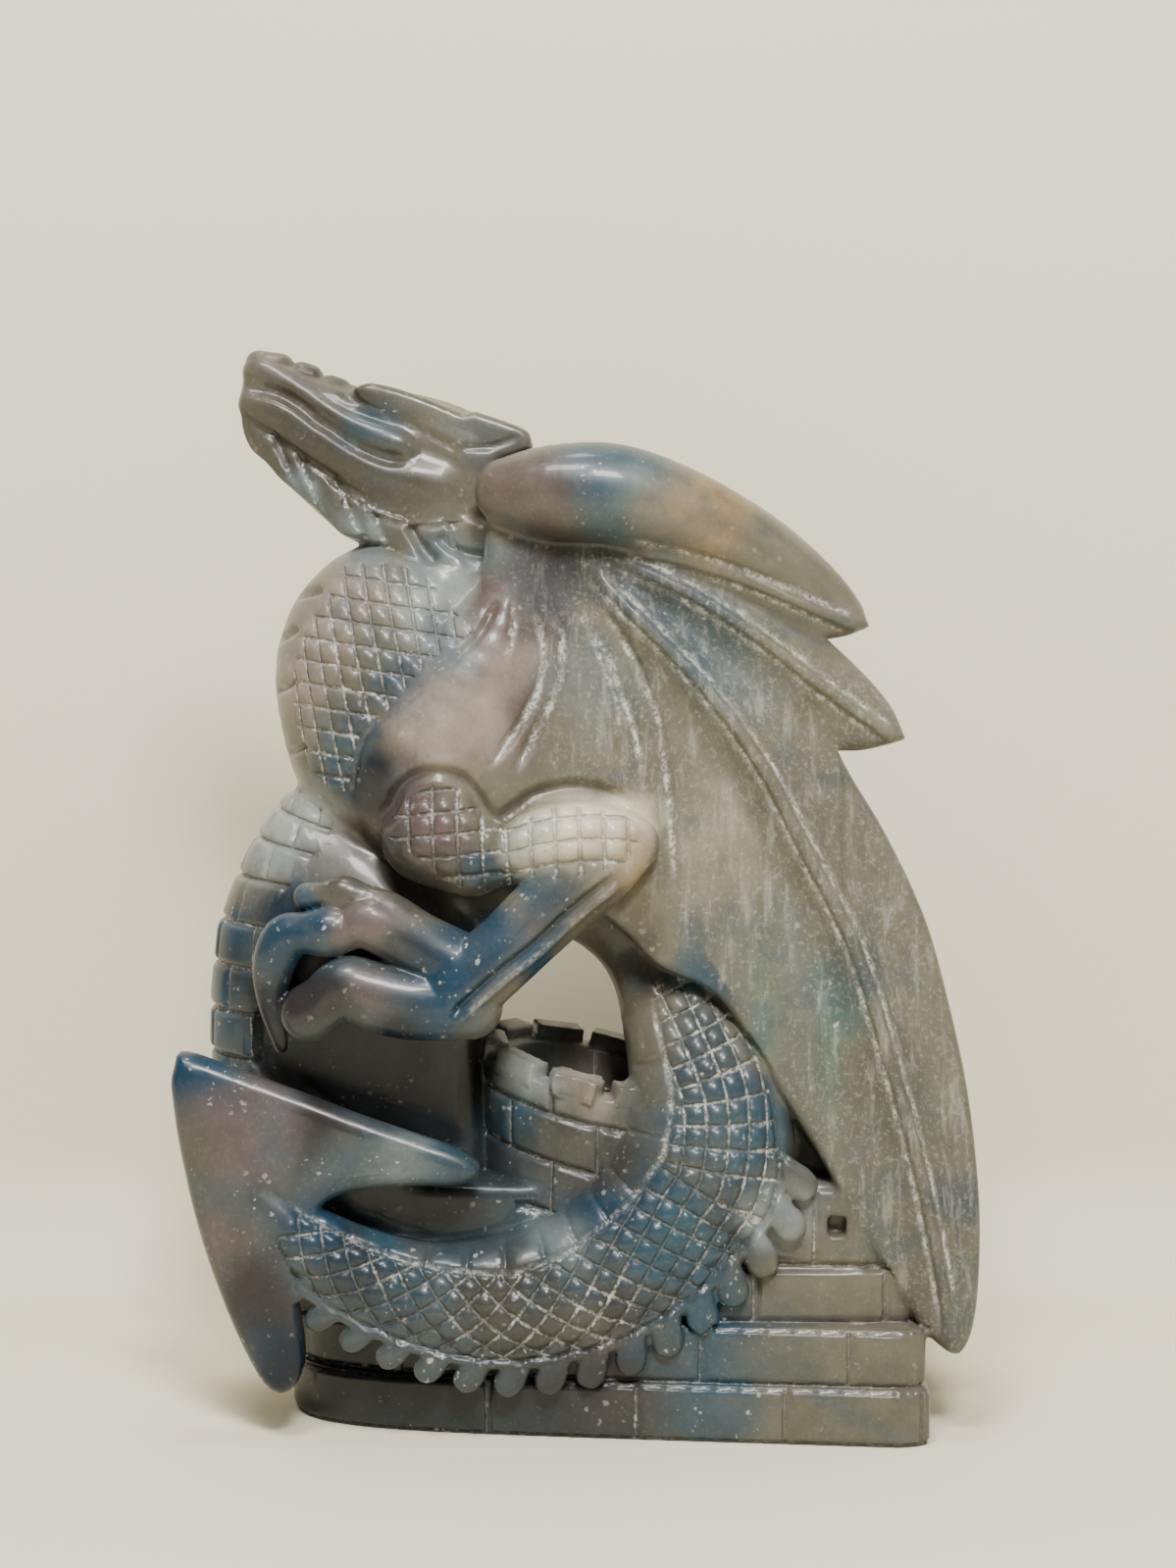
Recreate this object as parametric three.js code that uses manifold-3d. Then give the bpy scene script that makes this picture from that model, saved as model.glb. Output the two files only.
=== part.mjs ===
// A dragon coiled round a castle, carved with its brick plinth from one block of polished stone.
// Millimetres, +Z up, seen from the front along +Y. The origin is at the middle of the underside.
import * as THREE from "three";
import { mergeVertices } from "three/addons/utils/BufferGeometryUtils.js";
import Module from "manifold-3d";

const wasm = await Module();
wasm.setup();

// Driving sizes of the block and the carving
const statueHeight = 200;
const statueWidth = 150;
const statueDepth = 60;
const courseHeight = 10.5;
const plinthCourses = 2;
const mortarWidth = 1.1;
const mortarDepth = 0.8;
const brickLength = 24;
const baseCornerBevel = 0.6;
const towerCourseHeight = 8.5;
const towerMortarDepth = 0.9;
const turretWall = 5.5;
const turretWellDepth = 8;
const merlonLength = 7;
const crenelLength = 3;
const merlonHeight = 1.8;
const windowWidth = 4;
const windowHeight = 4.4;
const windowDepth = 3;
const wingGap = 16;
const wingWebOverlap = 1.5;
const wingRibRadius = 1.9;
const tailFinThickness = 8;
const tailFinBevel = 2.4;
const crestSpikeWidth = 2.9;
const crestSpikeCount = 18;
const crestSetIn = 0.78;
const crestForward = 0.56;
const crestTipForward = 2;
const bellyPlateCount = 8;
const bellyPlateLength = 5.2;

// The figure keeps its pose as shares of the block: it is drawn on a block of this size.
const drawn = { height: 200, width: 150, depth: 60 };
const shareX = statueWidth / drawn.width;
const shareY = statueDepth / drawn.depth;
const shareZ = statueHeight / drawn.height;
const shareR = (shareX + shareZ) / 2;
const at = (x, y, z) => new THREE.Vector3(x * shareX, y * shareY, z * shareZ);
const shortestEdge = 0.02; // what the joins may tidy away
const farLag = 0.7; // the far limbs sit this much further back than the near ones
const plinthTop = plinthCourses * courseHeight;

// A closed geometry as a solid that can be joined and cut.
function solid(geometry) {
  const bare = new THREE.BufferGeometry();
  bare.setAttribute("position", geometry.getAttribute("position"));
  if (geometry.index) bare.setIndex(geometry.index);
  const merged = mergeVertices(bare, 1e-4);
  const build = (triVerts) =>
    new wasm.Manifold(
      new wasm.Mesh({
        numProp: 3,
        vertProperties: merged.attributes.position.array,
        triVerts,
        tolerance: shortestEdge,
      }),
    );
  const triVerts = new Uint32Array(merged.index.array);
  const made = build(triVerts);
  return made.volume() > 0 ? made : build(triVerts.reverse());
}

const fuse = (solids) => solids.reduce((all, next) => all.add(next));

// Rings of points, each as long as the others, skinned into one closed surface with a point at each end.
function skin(rings, startPoint, endPoint) {
  const sides = rings[0].length;
  const points = [startPoint, ...rings.flat(), endPoint];
  const last = points.length - 1;
  const index = [];
  for (let i = 0; i < sides; i++) {
    const next = (i + 1) % sides;
    index.push(0, 1 + next, 1 + i);
    const tail = 1 + (rings.length - 1) * sides;
    index.push(last, tail + i, tail + next);
    for (let r = 0; r + 1 < rings.length; r++) {
      const a = 1 + r * sides;
      const b = a + sides;
      index.push(a + i, a + next, b + i, a + next, b + next, b + i);
    }
  }
  const geometry = new THREE.BufferGeometry().setFromPoints(points);
  geometry.setIndex(index);
  return solid(geometry);
}

// A tapering limb along a smooth line through stations [x, y, z, radius], with rounded ends or,
// where round is false, pointed ones. flatten is its depth front to back as a share of its width.
function limb(stations, { sides = 8, perStation = 2, flatten = 1, round = true, capLength = 0.8 } = {}) {
  const path = new THREE.CatmullRomCurve3(
    stations.map(([x, y, z]) => at(x, y, z)),
    false,
    "centripetal",
  );
  const radii = new THREE.SplineCurve(
    stations.map(([, , , r], i) => new THREE.Vector2(i, r * shareR)),
  );
  const steps = (stations.length - 1) * perStation;
  const ringAt = (t, shift, shrink) => {
    const tangent = path.getTangent(t).normalize();
    const across = new THREE.Vector3().crossVectors(tangent, new THREE.Vector3(0, 1, 0)).normalize();
    const out = new THREE.Vector3().crossVectors(across, tangent).normalize();
    const radius = radii.getPoint(t).y;
    const centre = path.getPoint(t).addScaledVector(tangent, shift * radius);
    return Array.from({ length: sides }, (_, i) => {
      const turn = (2 * Math.PI * (i + 0.5)) / sides;
      return centre
        .clone()
        .addScaledVector(across, radius * shrink * Math.cos(turn))
        .addScaledVector(out, radius * shrink * flatten * Math.sin(turn));
    });
  };
  const tip = (t, shift) =>
    path.getPoint(t).addScaledVector(path.getTangent(t).normalize(), shift * radii.getPoint(t).y);
  const cap = Math.SQRT1_2;
  const rings = [];
  for (let i = 0; i <= steps; i++) rings.push(ringAt(i / steps, 0, 1));
  if (round) {
    rings.unshift(ringAt(0, -capLength * cap, cap));
    rings.push(ringAt(1, capLength * cap, cap));
  }
  return skin(rings, tip(0, -capLength), tip(1, capLength));
}

// The same limb on the near side, where side is 1, or on the far side, where it is -1.
const onSide = (side, stations) => stations.map(([x, y, z, r]) => [x, side * y, z, r]);
const bothSides = (stations, options) => [
  limb(stations, options),
  limb(onSide(-1, stations).map(([x, ...rest]) => [x + farLag, ...rest]), options),
];

// An outline [[x, z], ...] in the front view, extruded from y = near to y = far.
function prism(outline, near, far, bevel = 0) {
  const shape = new THREE.Shape(outline.map(([x, z]) => new THREE.Vector2(x * shareX, z * shareZ)));
  const geometry = new THREE.ExtrudeGeometry(shape, {
    depth: (far - near) * shareY - 2 * bevel,
    bevelEnabled: bevel > 0,
    bevelThickness: bevel,
    bevelSize: bevel,
    bevelOffset: -bevel,
    bevelSegments: 2,
  });
  geometry.rotateX(Math.PI / 2);
  geometry.translate(0, far * shareY - bevel, 0);
  return solid(geometry);
}

// A plan outline [[x, y], ...] extruded from z = low to z = high, with its edges bevelled.
function planBlock(plan, low, high, bevel) {
  const shape = new THREE.Shape(plan.map(([x, y]) => new THREE.Vector2(x * shareX, y * shareY)));
  const geometry = new THREE.ExtrudeGeometry(shape, {
    depth: high - low - 2 * bevel,
    bevelThickness: bevel,
    bevelSize: bevel,
    bevelOffset: -bevel,
    bevelSegments: 1,
  });
  geometry.translate(0, 0, low + bevel);
  return solid(geometry);
}

// Elliptical rings [z, left, right, near, far] stacked into a tower, flat below.
function stack(levels, sides) {
  const rings = levels.map(([z, left, right, near, far]) => {
    const middle = at((left + right) / 2, (near + far) / 2, z);
    const reach = at((right - left) / 2, (far - near) / 2, 0);
    return Array.from({ length: sides }, (_, i) => {
      const turn = (2 * Math.PI * i) / sides;
      const spot = new THREE.Vector3(reach.x * Math.cos(turn), reach.y * Math.sin(turn), 0);
      return spot.add(middle);
    });
  });
  const centreOf = ([z, left, right, near, far]) => at((left + right) / 2, (near + far) / 2, z);
  return skin(rings, centreOf(levels[0]), centreOf(levels[levels.length - 1]));
}

const box = (width, depth, height, centre, turn = 0) => {
  const geometry = new THREE.BoxGeometry(width, depth, height);
  geometry.rotateZ(turn);
  geometry.translate(centre.x, centre.y, centre.z);
  return solid(geometry);
};

// Castle: plinth courses, wall behind the tail, domed tower, turret with merlons
const basePlan = [
  [-55, 10], [-54.5, -2], [-51, -9.5], [-44, -14.5], [-32, -18.5], [-10, -22], [20, -25.5], [58, -29.6],
  [62.5, -28], [64, -22], [64, 22], [61, 28], [40, 30], [-10, 30], [-38, 28], [-50, 21],
];
const wallPlan = [
  [-52, 8], [-49, -8], [-38, -15], [-10, -18], [30, -20], [52, -22], [58, -18], [58, 18], [52, 24],
  [10, 25], [-36, 24], [-48, 17],
];
const wallHeight = 46;
const gatehouseCourses = [
  { left: 24, right: 63, near: -22, tall: 1 },
  { left: 30, right: 61.5, near: -21, tall: 1 },
  { left: 38, right: 57.5, near: -20, tall: 0.45 },
];

function courses(plan, low, count) {
  const made = [];
  for (let i = 0; i < count; i++) {
    const floor = low + i * courseHeight;
    made.push(planBlock(plan, floor, floor + courseHeight + 0.01, baseCornerBevel));
  }
  return fuse(made);
}

// Upright joints cut into the long faces of a run of courses, staggered from row to row.
function uprightJoints(plan, low, count) {
  const cuts = [];
  for (let row = 0; row < count; row++) {
    for (let side = 0; side < plan.length; side++) {
      const [x0, y0] = plan[side];
      const [x1, y1] = plan[(side + 1) % plan.length];
      if (y0 + y1 > 0 || x1 < x0) continue; // the back is left plain
      const start = new THREE.Vector2(x0 * shareX, y0 * shareY);
      const end = new THREE.Vector2(x1 * shareX, y1 * shareY);
      const run = end.clone().sub(start);
      const turn = Math.atan2(run.y, run.x);
      const joints = Math.round(run.length() / brickLength);
      for (let j = 0; j < joints; j++) {
        const share = (j + (row % 2 ? 0.75 : 0.25)) / joints;
        const spot = start.clone().addScaledVector(run, share);
        const middle = new THREE.Vector3(spot.x, spot.y, low + (row + 0.5) * courseHeight);
        cuts.push(box(mortarWidth, 2 * mortarDepth, courseHeight, middle, turn));
      }
    }
  }
  return fuse(cuts);
}

// The tower's outline from its foot to its domed top: [z, left, right, near, far]
const towerProfile = [
  [plinthTop / shareZ - 1, -58, -14, -15, 20],
  [60, -69, -17, -17, 21],
  [70, -70.5, -18, -18, 22],
  [92, -69, -18, -17.5, 21.5],
  [99, -66.5, -20, -16, 19],
  [106, -63.5, -29, -14, 16.5],
  [112, -60, -38, -11, 13],
  [117, -56, -44.5, -8, 9],
  [119.5, -52.5, -48, -3, 3],
];
const towerFirstCourse = 67;
const towerLastCourse = 115;
const towerSides = 13;

function towerLevel(z) {
  const above = towerProfile.findIndex(([height]) => height > z);
  const [low, high] = [towerProfile[above - 1], towerProfile[above]];
  const share = (z - low[0]) / (high[0] - low[0]);
  return low.map((value, i) => value + (high[i] - value) * share);
}

function inset([z, left, right, near, far], depth) {
  return [z, left + depth, right - depth, near + depth, far - depth];
}

// The courses grow thinner towards the dome's top.
function towerCourses() {
  const found = [];
  let z = towerFirstCourse;
  while (z < towerLastCourse) {
    found.push(z);
    z += towerCourseHeight * Math.min(1, (towerLastCourse + 17 - z) / 40);
  }
  return found;
}

function tower() {
  const levels = towerProfile.map((level) => [...level]);
  const found = towerCourses();
  for (const z of found) {
    levels.push(towerLevel(z - mortarWidth / 2), towerLevel(z + mortarWidth / 2));
    levels.push(inset(towerLevel(z), towerMortarDepth));
  }
  levels.sort((a, b) => a[0] - b[0]);
  const cuts = [];
  for (let row = 0; row + 1 < found.length; row++) {
    const [z, left, right, near, far] = towerLevel((found[row] + found[row + 1]) / 2);
    const height = (found[row + 1] - found[row]) * shareZ - 1.2 * mortarWidth;
    for (let j = 0; j < 3; j++) {
      const turn = Math.PI * (0.98 + (j + (row % 2) / 2) * 0.16);
      const x = (left + right) / 2 + ((right - left) / 2) * Math.cos(turn);
      const y = (near + far) / 2 + ((far - near) / 2) * Math.sin(turn);
      cuts.push(box(2 * mortarDepth, mortarWidth, height, at(x, y, z), turn));
    }
  }
  return stack(levels, towerSides).subtract(fuse(cuts));
}

// The turret's rim falls to the right and rises to the back.
const turretCentre = { x: 3, y: 0 };
const turretReach = { x: 22, y: 19.5 };
const turretLineDrop = 6;
const rimHeight = (x, y) => 65 - 0.24 * (x + 7) + 0.126 * (y + 17);

function turret() {
  const sides = 16;
  const spotAt = (turn, shrink, heightOf) => {
    const x = turretCentre.x + (turretReach.x - shrink) * Math.cos(turn);
    const y = turretCentre.y + (turretReach.y - shrink) * Math.sin(turn);
    return at(x, y, heightOf(x, y));
  };
  const middle = (heightOf) => spotAt(0, turretReach.x, heightOf).setY(0);
  const ring = (shrink, heightOf) =>
    Array.from({ length: sides }, (_, i) => spotAt((2 * Math.PI * i) / sides, shrink, heightOf));
  const foot = () => plinthTop / shareZ;
  const line = (shift) => (x, y) => rimHeight(x, y) - turretLineDrop + shift;
  const outside = [
    ring(0, foot),
    ring(0, line(-mortarWidth / 2)),
    ring(mortarDepth, line(0)),
    ring(0, line(mortarWidth / 2)),
    ring(0, rimHeight),
  ];
  const body = skin(outside, middle(foot), middle(rimHeight));
  const wellFloor = (x, y) => rimHeight(x, y) - turretWellDepth;
  const above = (x, y) => rimHeight(x, y) + 12;
  const well = skin(
    [ring(turretWall, wellFloor), ring(turretWall, above)],
    middle(wellFloor),
    middle(above),
  );
  const around = Math.PI * (turretReach.x + turretReach.y);
  const count = Math.round(around / (merlonLength + crenelLength));
  const sunk = 1.6; // how far a merlon's foot reaches into the wall
  const merlons = Array.from({ length: count }, (_, i) => {
    const turn = (2 * Math.PI * (i + 0.5)) / count;
    const spot = spotAt(turn, turretWall / 2, rimHeight);
    spot.z += (merlonHeight - sunk) / 2;
    return box(turretWall * 0.8, merlonLength, merlonHeight + sunk, spot, turn);
  });
  return fuse([body, ...merlons]).subtract(well);
}

function castle() {
  const plinth = courses(basePlan, 0, plinthCourses).subtract(uprightJoints(basePlan, 0, plinthCourses));
  const wall = planBlock(wallPlan, plinthTop - 1, wallHeight * shareZ, 2);
  const gatehouse = gatehouseCourses.map(({ left, right, near, tall }, row) => {
    const floor = plinthTop + row * courseHeight;
    const plan = [[left, near], [right - 3, near], [right, near + 4], [right, 24], [left, 24]];
    const block = planBlock(plan, floor - 0.01, floor + tall * courseHeight, baseCornerBevel);
    return block.subtract(uprightJoints(plan.slice(0, 3), floor, 1));
  });
  const { left, right, near } = gatehouseCourses[1];
  const windowAt = at((left + right) / 2 + 1.5, near, 39);
  const opening = box(windowWidth, 2 * windowDepth, windowHeight, windowAt);
  return fuse([plinth, wall, ...gatehouse, tower(), turret()]).subtract(opening);
}

// Body and tail: one long loft from the nape down the chest and round to the tail fin
const bodyStations = [
  [-26, 0, 172, 9.5], [-29, 0, 161, 11.4], [-32.5, 0, 152, 14.9], [-35.5, -1, 143, 21],
  [-35.5, -1, 134, 21.2], [-32.5, -1, 123.5, 20.2], [-24, 0, 112.5, 17.5], [-12, 0, 107.5, 15.5],
  [0, 0, 103.5, 13.5], [8.5, -1, 95.5, 10],
];
const tailStations = [
  [8.5, -1, 95.5, 9.5], [14, -4, 85, 8.5], [19, -9, 74.5, 11], [23.5, -13, 63, 14.5],
  [23, -14.5, 50, 16.8], [19, -15, 43.5, 16], [14.5, -16, 38, 15.5], [8, -17, 32.5, 14.5],
  [0, -18, 28, 13.5], [-13.5, -19.5, 25, 12], [-27, -21, 26, 10], [-40, -22, 30.5, 8.5],
  [-49, -23.6, 36, 7], [-56, -24.6, 42, 5],
];

// Outline of the fin on the tail: its point is up and to the left, with two long barbs.
const finOutline = [
  [-70.5, 71.5], [-61.5, 68], [-50.5, 64], [-40, 60], [-30, 56.5], [-21.5, 53.5], [-18, 50.5],
  [-21, 47.5], [-33, 47], [-43.5, 45.5], [-48, 42], [-51, 36], [-51.5, 27], [-50.2, 16],
  [-52, 10.5], [-55, 9], [-58.5, 12], [-62, 18.5], [-65.5, 27], [-69, 37.5], [-71.8, 49],
  [-73.6, 60.5], [-73, 70],
];

const finRidge = [
  [-71, -25.6, 66, 2], [-65, -25.6, 52, 4.5], [-58, -25.2, 38, 4], [-55, -24.8, 24, 3], [-54, -24.4, 13, 2],
];
const finMiddle = -23.3;

function tailFin() {
  const reach = tailFinThickness / 2 / shareY;
  const fin = prism(finOutline, finMiddle - reach, finMiddle + reach, tailFinBevel);
  return fin.add(limb(finRidge, { sides: 6, flatten: 0.6 }));
}

const tailPoints = tailStations.map(([x, y, z]) => at(x, y, z));
const tailPath = new THREE.CatmullRomCurve3(tailPoints, false, "centripetal");
const tailRadii = new THREE.SplineCurve(tailStations.map(([, , , r], i) => new THREE.Vector2(i, r * shareR)));

// A place on the tail, with the way along it, the way out of its bend, and its radius there.
function onTail(t) {
  const along = tailPath.getTangent(t).normalize();
  const away = new THREE.Vector3(-along.z, 0, along.x).normalize();
  return { centre: tailPath.getPoint(t), along, away, reach: tailRadii.getPoint(t).y };
}

// A station for limb() at a point that is already at the block's own size.
const station = (point, radius) => [point.x / shareX, point.y / shareY, point.z / shareZ, radius];

// Leaf-shaped spikes that stand out along the back of the tail and lean towards its fin.
function tailCrest() {
  const spikes = [];
  for (let i = 0; i < crestSpikeCount; i++) {
    const { centre, along, away, reach } = onTail(0.2 + (0.7 * i) / (crestSpikeCount - 1));
    const foot = centre.addScaledVector(away, reach * crestSetIn);
    foot.y -= reach * crestForward;
    const size = Math.min(1, 0.55 + reach / 30);
    const tip = foot.clone().addScaledVector(away, 9 * size).addScaledVector(along, 5 * size);
    tip.y -= crestTipForward;
    const spike = [
      station(foot, crestSpikeWidth * size),
      station(foot.clone().lerp(tip, 0.5), crestSpikeWidth * size),
      station(tip, 0.4 * crestSpikeWidth * size),
    ];
    spikes.push(limb(spike, { sides: 4, perStation: 1, flatten: 0.75, round: false }));
  }
  return fuse(spikes);
}

// Broad plates along the inner side of the tail's bend, as slightly raised steps.
function bellyPlates() {
  const plates = [];
  for (let i = 0; i < bellyPlateCount; i++) {
    const { centre, along, away, reach } = onTail(0.1 + (0.52 * i) / (bellyPlateCount - 1));
    const middle = centre.addScaledVector(away, -0.8 * reach);
    middle.y -= 0.3 * reach;
    const end = (shift) => middle.clone().addScaledVector(along, shift * bellyPlateLength);
    const plate = [station(end(-0.5), 0.5 * bellyPlateLength), station(end(0.5), 0.58 * bellyPlateLength)];
    plates.push(limb(plate, { sides: 5, perStation: 1, flatten: 2, round: false, capLength: 0.3 }));
  }
  return fuse(plates);
}

// Head: cheek and lower jaw, upper jaw, scalloped nose ridge, swept-back horns, leafy beard
const cheek = [
  [-59.5, 0, 190.5, 4.6], [-52, 0, 187.5, 7], [-43.5, 0, 182.5, 8.5], [-35, 0, 178, 9.8],
  [-27, 0, 174.5, 10], [-20.5, 0, 171, 8],
];
const upperJaw = [
  [-59.5, 0, 195.5, 4.2], [-50.5, 0, 193.5, 5.2], [-39.5, 0, 188, 6.5], [-28, 0, 183.5, 7.5],
];
const crown = [[-41, 0, 187, 3], [-27, 0, 184, 5.5], [-17, 0, 179, 5]];
const throat = [[-56, 0, 184.5, 3.4], [-44, 0, 176, 5], [-33, 0, 170, 8], [-26, 0, 168, 9]];
const noseBumps = [[-59, 197.6, 2.4], [-53.5, 196.8, 2.8], [-48, 194.8, 2.8], [-43.5, 192.6, 2.4]];
const horn = [
  [-39, -4.5, 190.5, 2.6], [-30, -5.5, 188.7, 3.6], [-21, -6.5, 185.7, 3.8], [-12.5, -7.5, 183, 2.6],
  [-9.5, -8, 182, 1.4],
];
// Each leaf of the beard from its root by the jaw to its tip: [x, z, x, z]
const beardLeaves = [
  [-61.3, 187.4, -55.8, 177.6], [-57.1, 184.6, -50.9, 176.4], [-52.6, 181.8, -45, 171.6],
  [-46.5, 177.3, -37.3, 165.8], [-39.2, 170.9, -27.2, 161.6], [-31.5, 167.4, -16.4, 160.8],
];

function head() {
  const pieces = [
    limb(cheek, { perStation: 1 }),
    limb(upperJaw, { perStation: 1, flatten: 1.05 }),
    limb(crown, { perStation: 1, flatten: 1.2 }),
    limb(throat, { perStation: 1 }),
    ...bothSides(horn, { sides: 6, perStation: 1 }),
  ];
  for (const [x, z, r] of noseBumps) {
    const bump = [[x - 0.6, 0, z + 0.3, r], [x + 0.8, 0, z - 0.4, r]];
    pieces.push(limb(bump, { sides: 5, perStation: 1, flatten: 1.6, round: false }));
  }
  beardLeaves.forEach(([x, z, tipX, tipZ], i) => {
    const size = 0.8 + i * 0.08;
    const out = 4 + i * 0.9;
    const leaf = [
      [x, -out, z, 2 * size],
      [x + 0.45 * (tipX - x), -out - 0.8, z + 0.45 * (tipZ - z), 2.8 * size],
      [tipX, -out - 0.6, tipZ, 1.1 * size],
    ];
    pieces.push(...bothSides(leaf, { sides: 4, perStation: 1, flatten: 0.8, round: false }));
  });
  return fuse(pieces);
}

// Wings: a rounded arm, a scalloped membrane with three finger ribs, folds towards the body
const wingOutline = [
  [-18, 158], [-16, 172], [-8, 181], [3, 181.5], [13.5, 180], [24.5, 175.5], [35, 169.5], [44, 161.5],
  [50.5, 154.5], [52.5, 148.5], [45.5, 146.5], [51.5, 141], [57, 134.5], [59, 128], [52.5, 126.2],
  [47.5, 126], [50.5, 120.5], [56.5, 110.5], [63.3, 96], [67.6, 81], [71.2, 64.5], [73.2, 48], [73.6, 35],
  [72.6, 23], [70.5, 17], [67.8, 16], [62.8, 20], [56.5, 31], [49, 43.5], [42, 55.5], [34.5, 67.5], [28, 78],
  [22.5, 83], [16, 85.5], [12, 88.5], [8, 93], [-6, 104], [-22, 112], [-27, 128], [-20, 146],
];
const webOutline = [
  [-16, 160], [-6, 172], [8, 171], [22, 164], [34, 152], [40, 139], [42, 122], [48, 106], [55, 84],
  [59, 60], [58, 36], [46, 34], [31, 60], [22, 80], [8, 93], [-14, 104], [-20, 130],
];
const wingFront = (x, z) => -(16.5 + 11 * (1 - z / 170)) + 0.0006 * Math.max(0, x - 30) ** 2;
const wingArm = [
  [-13, -17, 173.5, 6.2], [-4.5, -18, 173.3, 8.6], [6.5, -18, 173, 9], [19, -16.5, 169.3, 8.2],
  [31, -15, 163.5, 7], [42, -14, 156.5, 5.3], [49, -13, 151, 3],
];
const wingRibs = [
  [[8, -18, 163, 1], [20, -17.5, 160.5, 1], [31, -17, 157, 1], [47, -16, 150, 0.8]],
  [[8, -18, 161, 1.1], [20, -18, 155, 1.1], [32.5, -18, 147, 1.1], [43.5, -18, 138, 1], [54, -17, 129, 0.8]],
  [[2, -18, 159, 1.2], [13, -19, 148, 1.2], [23.5, -20, 137, 1.2], [33.5, -20.5, 123, 1.2],
    [41.5, -21.5, 107.5, 1.2], [50, -22.3, 90.5, 1.2], [56, -23.2, 71.5, 1.2], [61, -24.2, 53.5, 1.1],
    [64.5, -25, 37.5, 1], [68, -25.8, 21, 0.8]],
];
const haunch = [[-13, -12.5, 153, 7], [-19, -13.2, 139, 11.5], [-27, -13, 126.5, 13.8], [-31, -11.5, 116, 10.5]];
const membraneFolds = [
  [[-6, -17, 162, 1], [-7, -21, 146, 1.5], [-13, -22, 131, 1.4], [-17, -22, 120, 1]],
  [[-1, -17, 161, 1], [4, -20, 143, 1.3], [9, -21.5, 125, 1.4], [12, -23, 106, 1.3], [13.5, -23, 90, 1.2]],
];

// One wing's membrane, from the gap between the wings out to its slightly hollowed face.
function membrane(side) {
  const [columns, rows] = [5, 8];
  const sheet = new THREE.BoxGeometry(108, 2, 176, columns, 1, rows).translate(24, 0, 96);
  const spots = sheet.attributes.position;
  for (let i = 0; i < spots.count; i++) {
    const [x, z] = [spots.getX(i), spots.getZ(i)];
    const depth = spots.getY(i) < 0 ? wingFront(x, z) * shareY : -wingGap / 2;
    spots.setXYZ(i, x * shareX, side * depth, z * shareZ);
  }
  const reach = side * 40;
  return solid(sheet).intersect(prism(wingOutline, Math.min(0, -reach), Math.max(0, -reach)));
}

function wings() {
  const rod = (rib) => {
    const stations = rib.map(([x, y, z, share]) => [x, y, z, share * wingRibRadius]);
    return limb(stations, { sides: 5, perStation: 1, round: false });
  };
  const wing = (side) => [
    membrane(side),
    limb(onSide(side, wingArm), { flatten: 0.95, perStation: 1 }),
    limb(onSide(side, haunch), { flatten: 0.75, perStation: 1 }),
    rod(onSide(side, wingRibs[wingRibs.length - 1])),
  ];
  const nearDetail = [...wingRibs.slice(0, -1), ...membraneFolds].map(rod);
  const reach = (wingGap / 2 + wingWebOverlap) / shareY;
  return fuse([...wing(1), ...wing(-1), prism(webOutline, -reach, reach), ...nearDetail]);
}

// Hind legs: scaled thigh with a round hip, ridged shin, and three toes that grip the tower
const hip = [[-27.5, -17.5, 110.5, 9], [-25, -18.5, 110.5, 9.6], [-20, -19, 107.5, 8]];
const thigh = [
  [-17, -19.5, 106.5, 5.5], [-9, -21.2, 109.2, 6.9], [-1, -21.6, 110.2, 7.2], [6, -21.5, 110, 6.4],
  [9.5, -21, 109.5, 5],
];
const shin = [
  [9.5, -22, 108.5, 4.5], [3, -22.5, 104, 6.5], [-5.5, -23, 97.5, 7], [-14, -24, 89.5, 6.8],
  [-22, -24, 83, 7.5],
];
const shinBone = [[9, -23, 103, 1.8], [0, -24, 95.5, 1.8], [-9, -24.5, 87, 1.8], [-17, -25, 79.5, 1.8]];
const toes = [
  [[-22, -22.5, 88, 5.5], [-28.9, -23.5, 92, 5], [-34.5, -24.3, 97, 3.8], [-39.2, -24, 99.4, 3],
    [-43, -23.6, 100.3, 3.5], [-49.5, -21, 99.6, 2.7]],
  [[-22, -23.5, 87, 5.5], [-30, -24, 91, 5], [-37.7, -24.8, 95.2, 4.9], [-45.5, -24.6, 93.6, 4.5],
    [-53.5, -23, 92.2, 4.3], [-55.8, -22, 87, 3.9], [-54.8, -19.5, 72, 1.4]],
  [[-20, -23.5, 79.8, 6], [-32, -23.8, 80.6, 6.6], [-38.5, -24, 82.2, 6.6], [-43.5, -24.2, 83.2, 5.4],
    [-49.2, -23.6, 78.8, 5.2]],
];

function legs() {
  return fuse([
    ...bothSides(hip, { sides: 8, perStation: 1, flatten: 0.85 }),
    ...bothSides(thigh, { sides: 8, perStation: 1, flatten: 0.9 }),
    ...bothSides(shin, { sides: 8, perStation: 1, flatten: 0.75 }),
    limb(shinBone, { sides: 5, perStation: 1, round: false }),
    ...toes.flatMap((toe) => bothSides(toe, { sides: 5, perStation: 1, round: false })),
  ]);
}

const carving = fuse([
  castle(),
  limb(bodyStations, { sides: 12, perStation: 1, flatten: 0.86 }),
  limb(tailStations, { sides: 10, flatten: 0.8 }),
  bellyPlates(),
  tailCrest(),
  tailFin(),
  head(),
  wings(),
  legs(),
]);

// Trims what the tools' rounding would leave below the foot or past the block's front and back.
const block = box(2 * statueWidth, statueDepth, 2 * statueHeight, new THREE.Vector3(0, 0, statueHeight));
const trimmed = carving.intersect(block);

const { vertProperties, triVerts } = trimmed.getMesh();
const geometry = new THREE.BufferGeometry();
geometry.setAttribute("position", new THREE.BufferAttribute(new Float32Array(vertProperties), 3));
geometry.setIndex(new THREE.BufferAttribute(new Uint32Array(triVerts), 1));
geometry.computeVertexNormals();
geometry.computeBoundingBox();
const { min, max } = geometry.boundingBox;
geometry.translate(-(min.x + max.x) / 2, -(min.y + max.y) / 2, 0);

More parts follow.
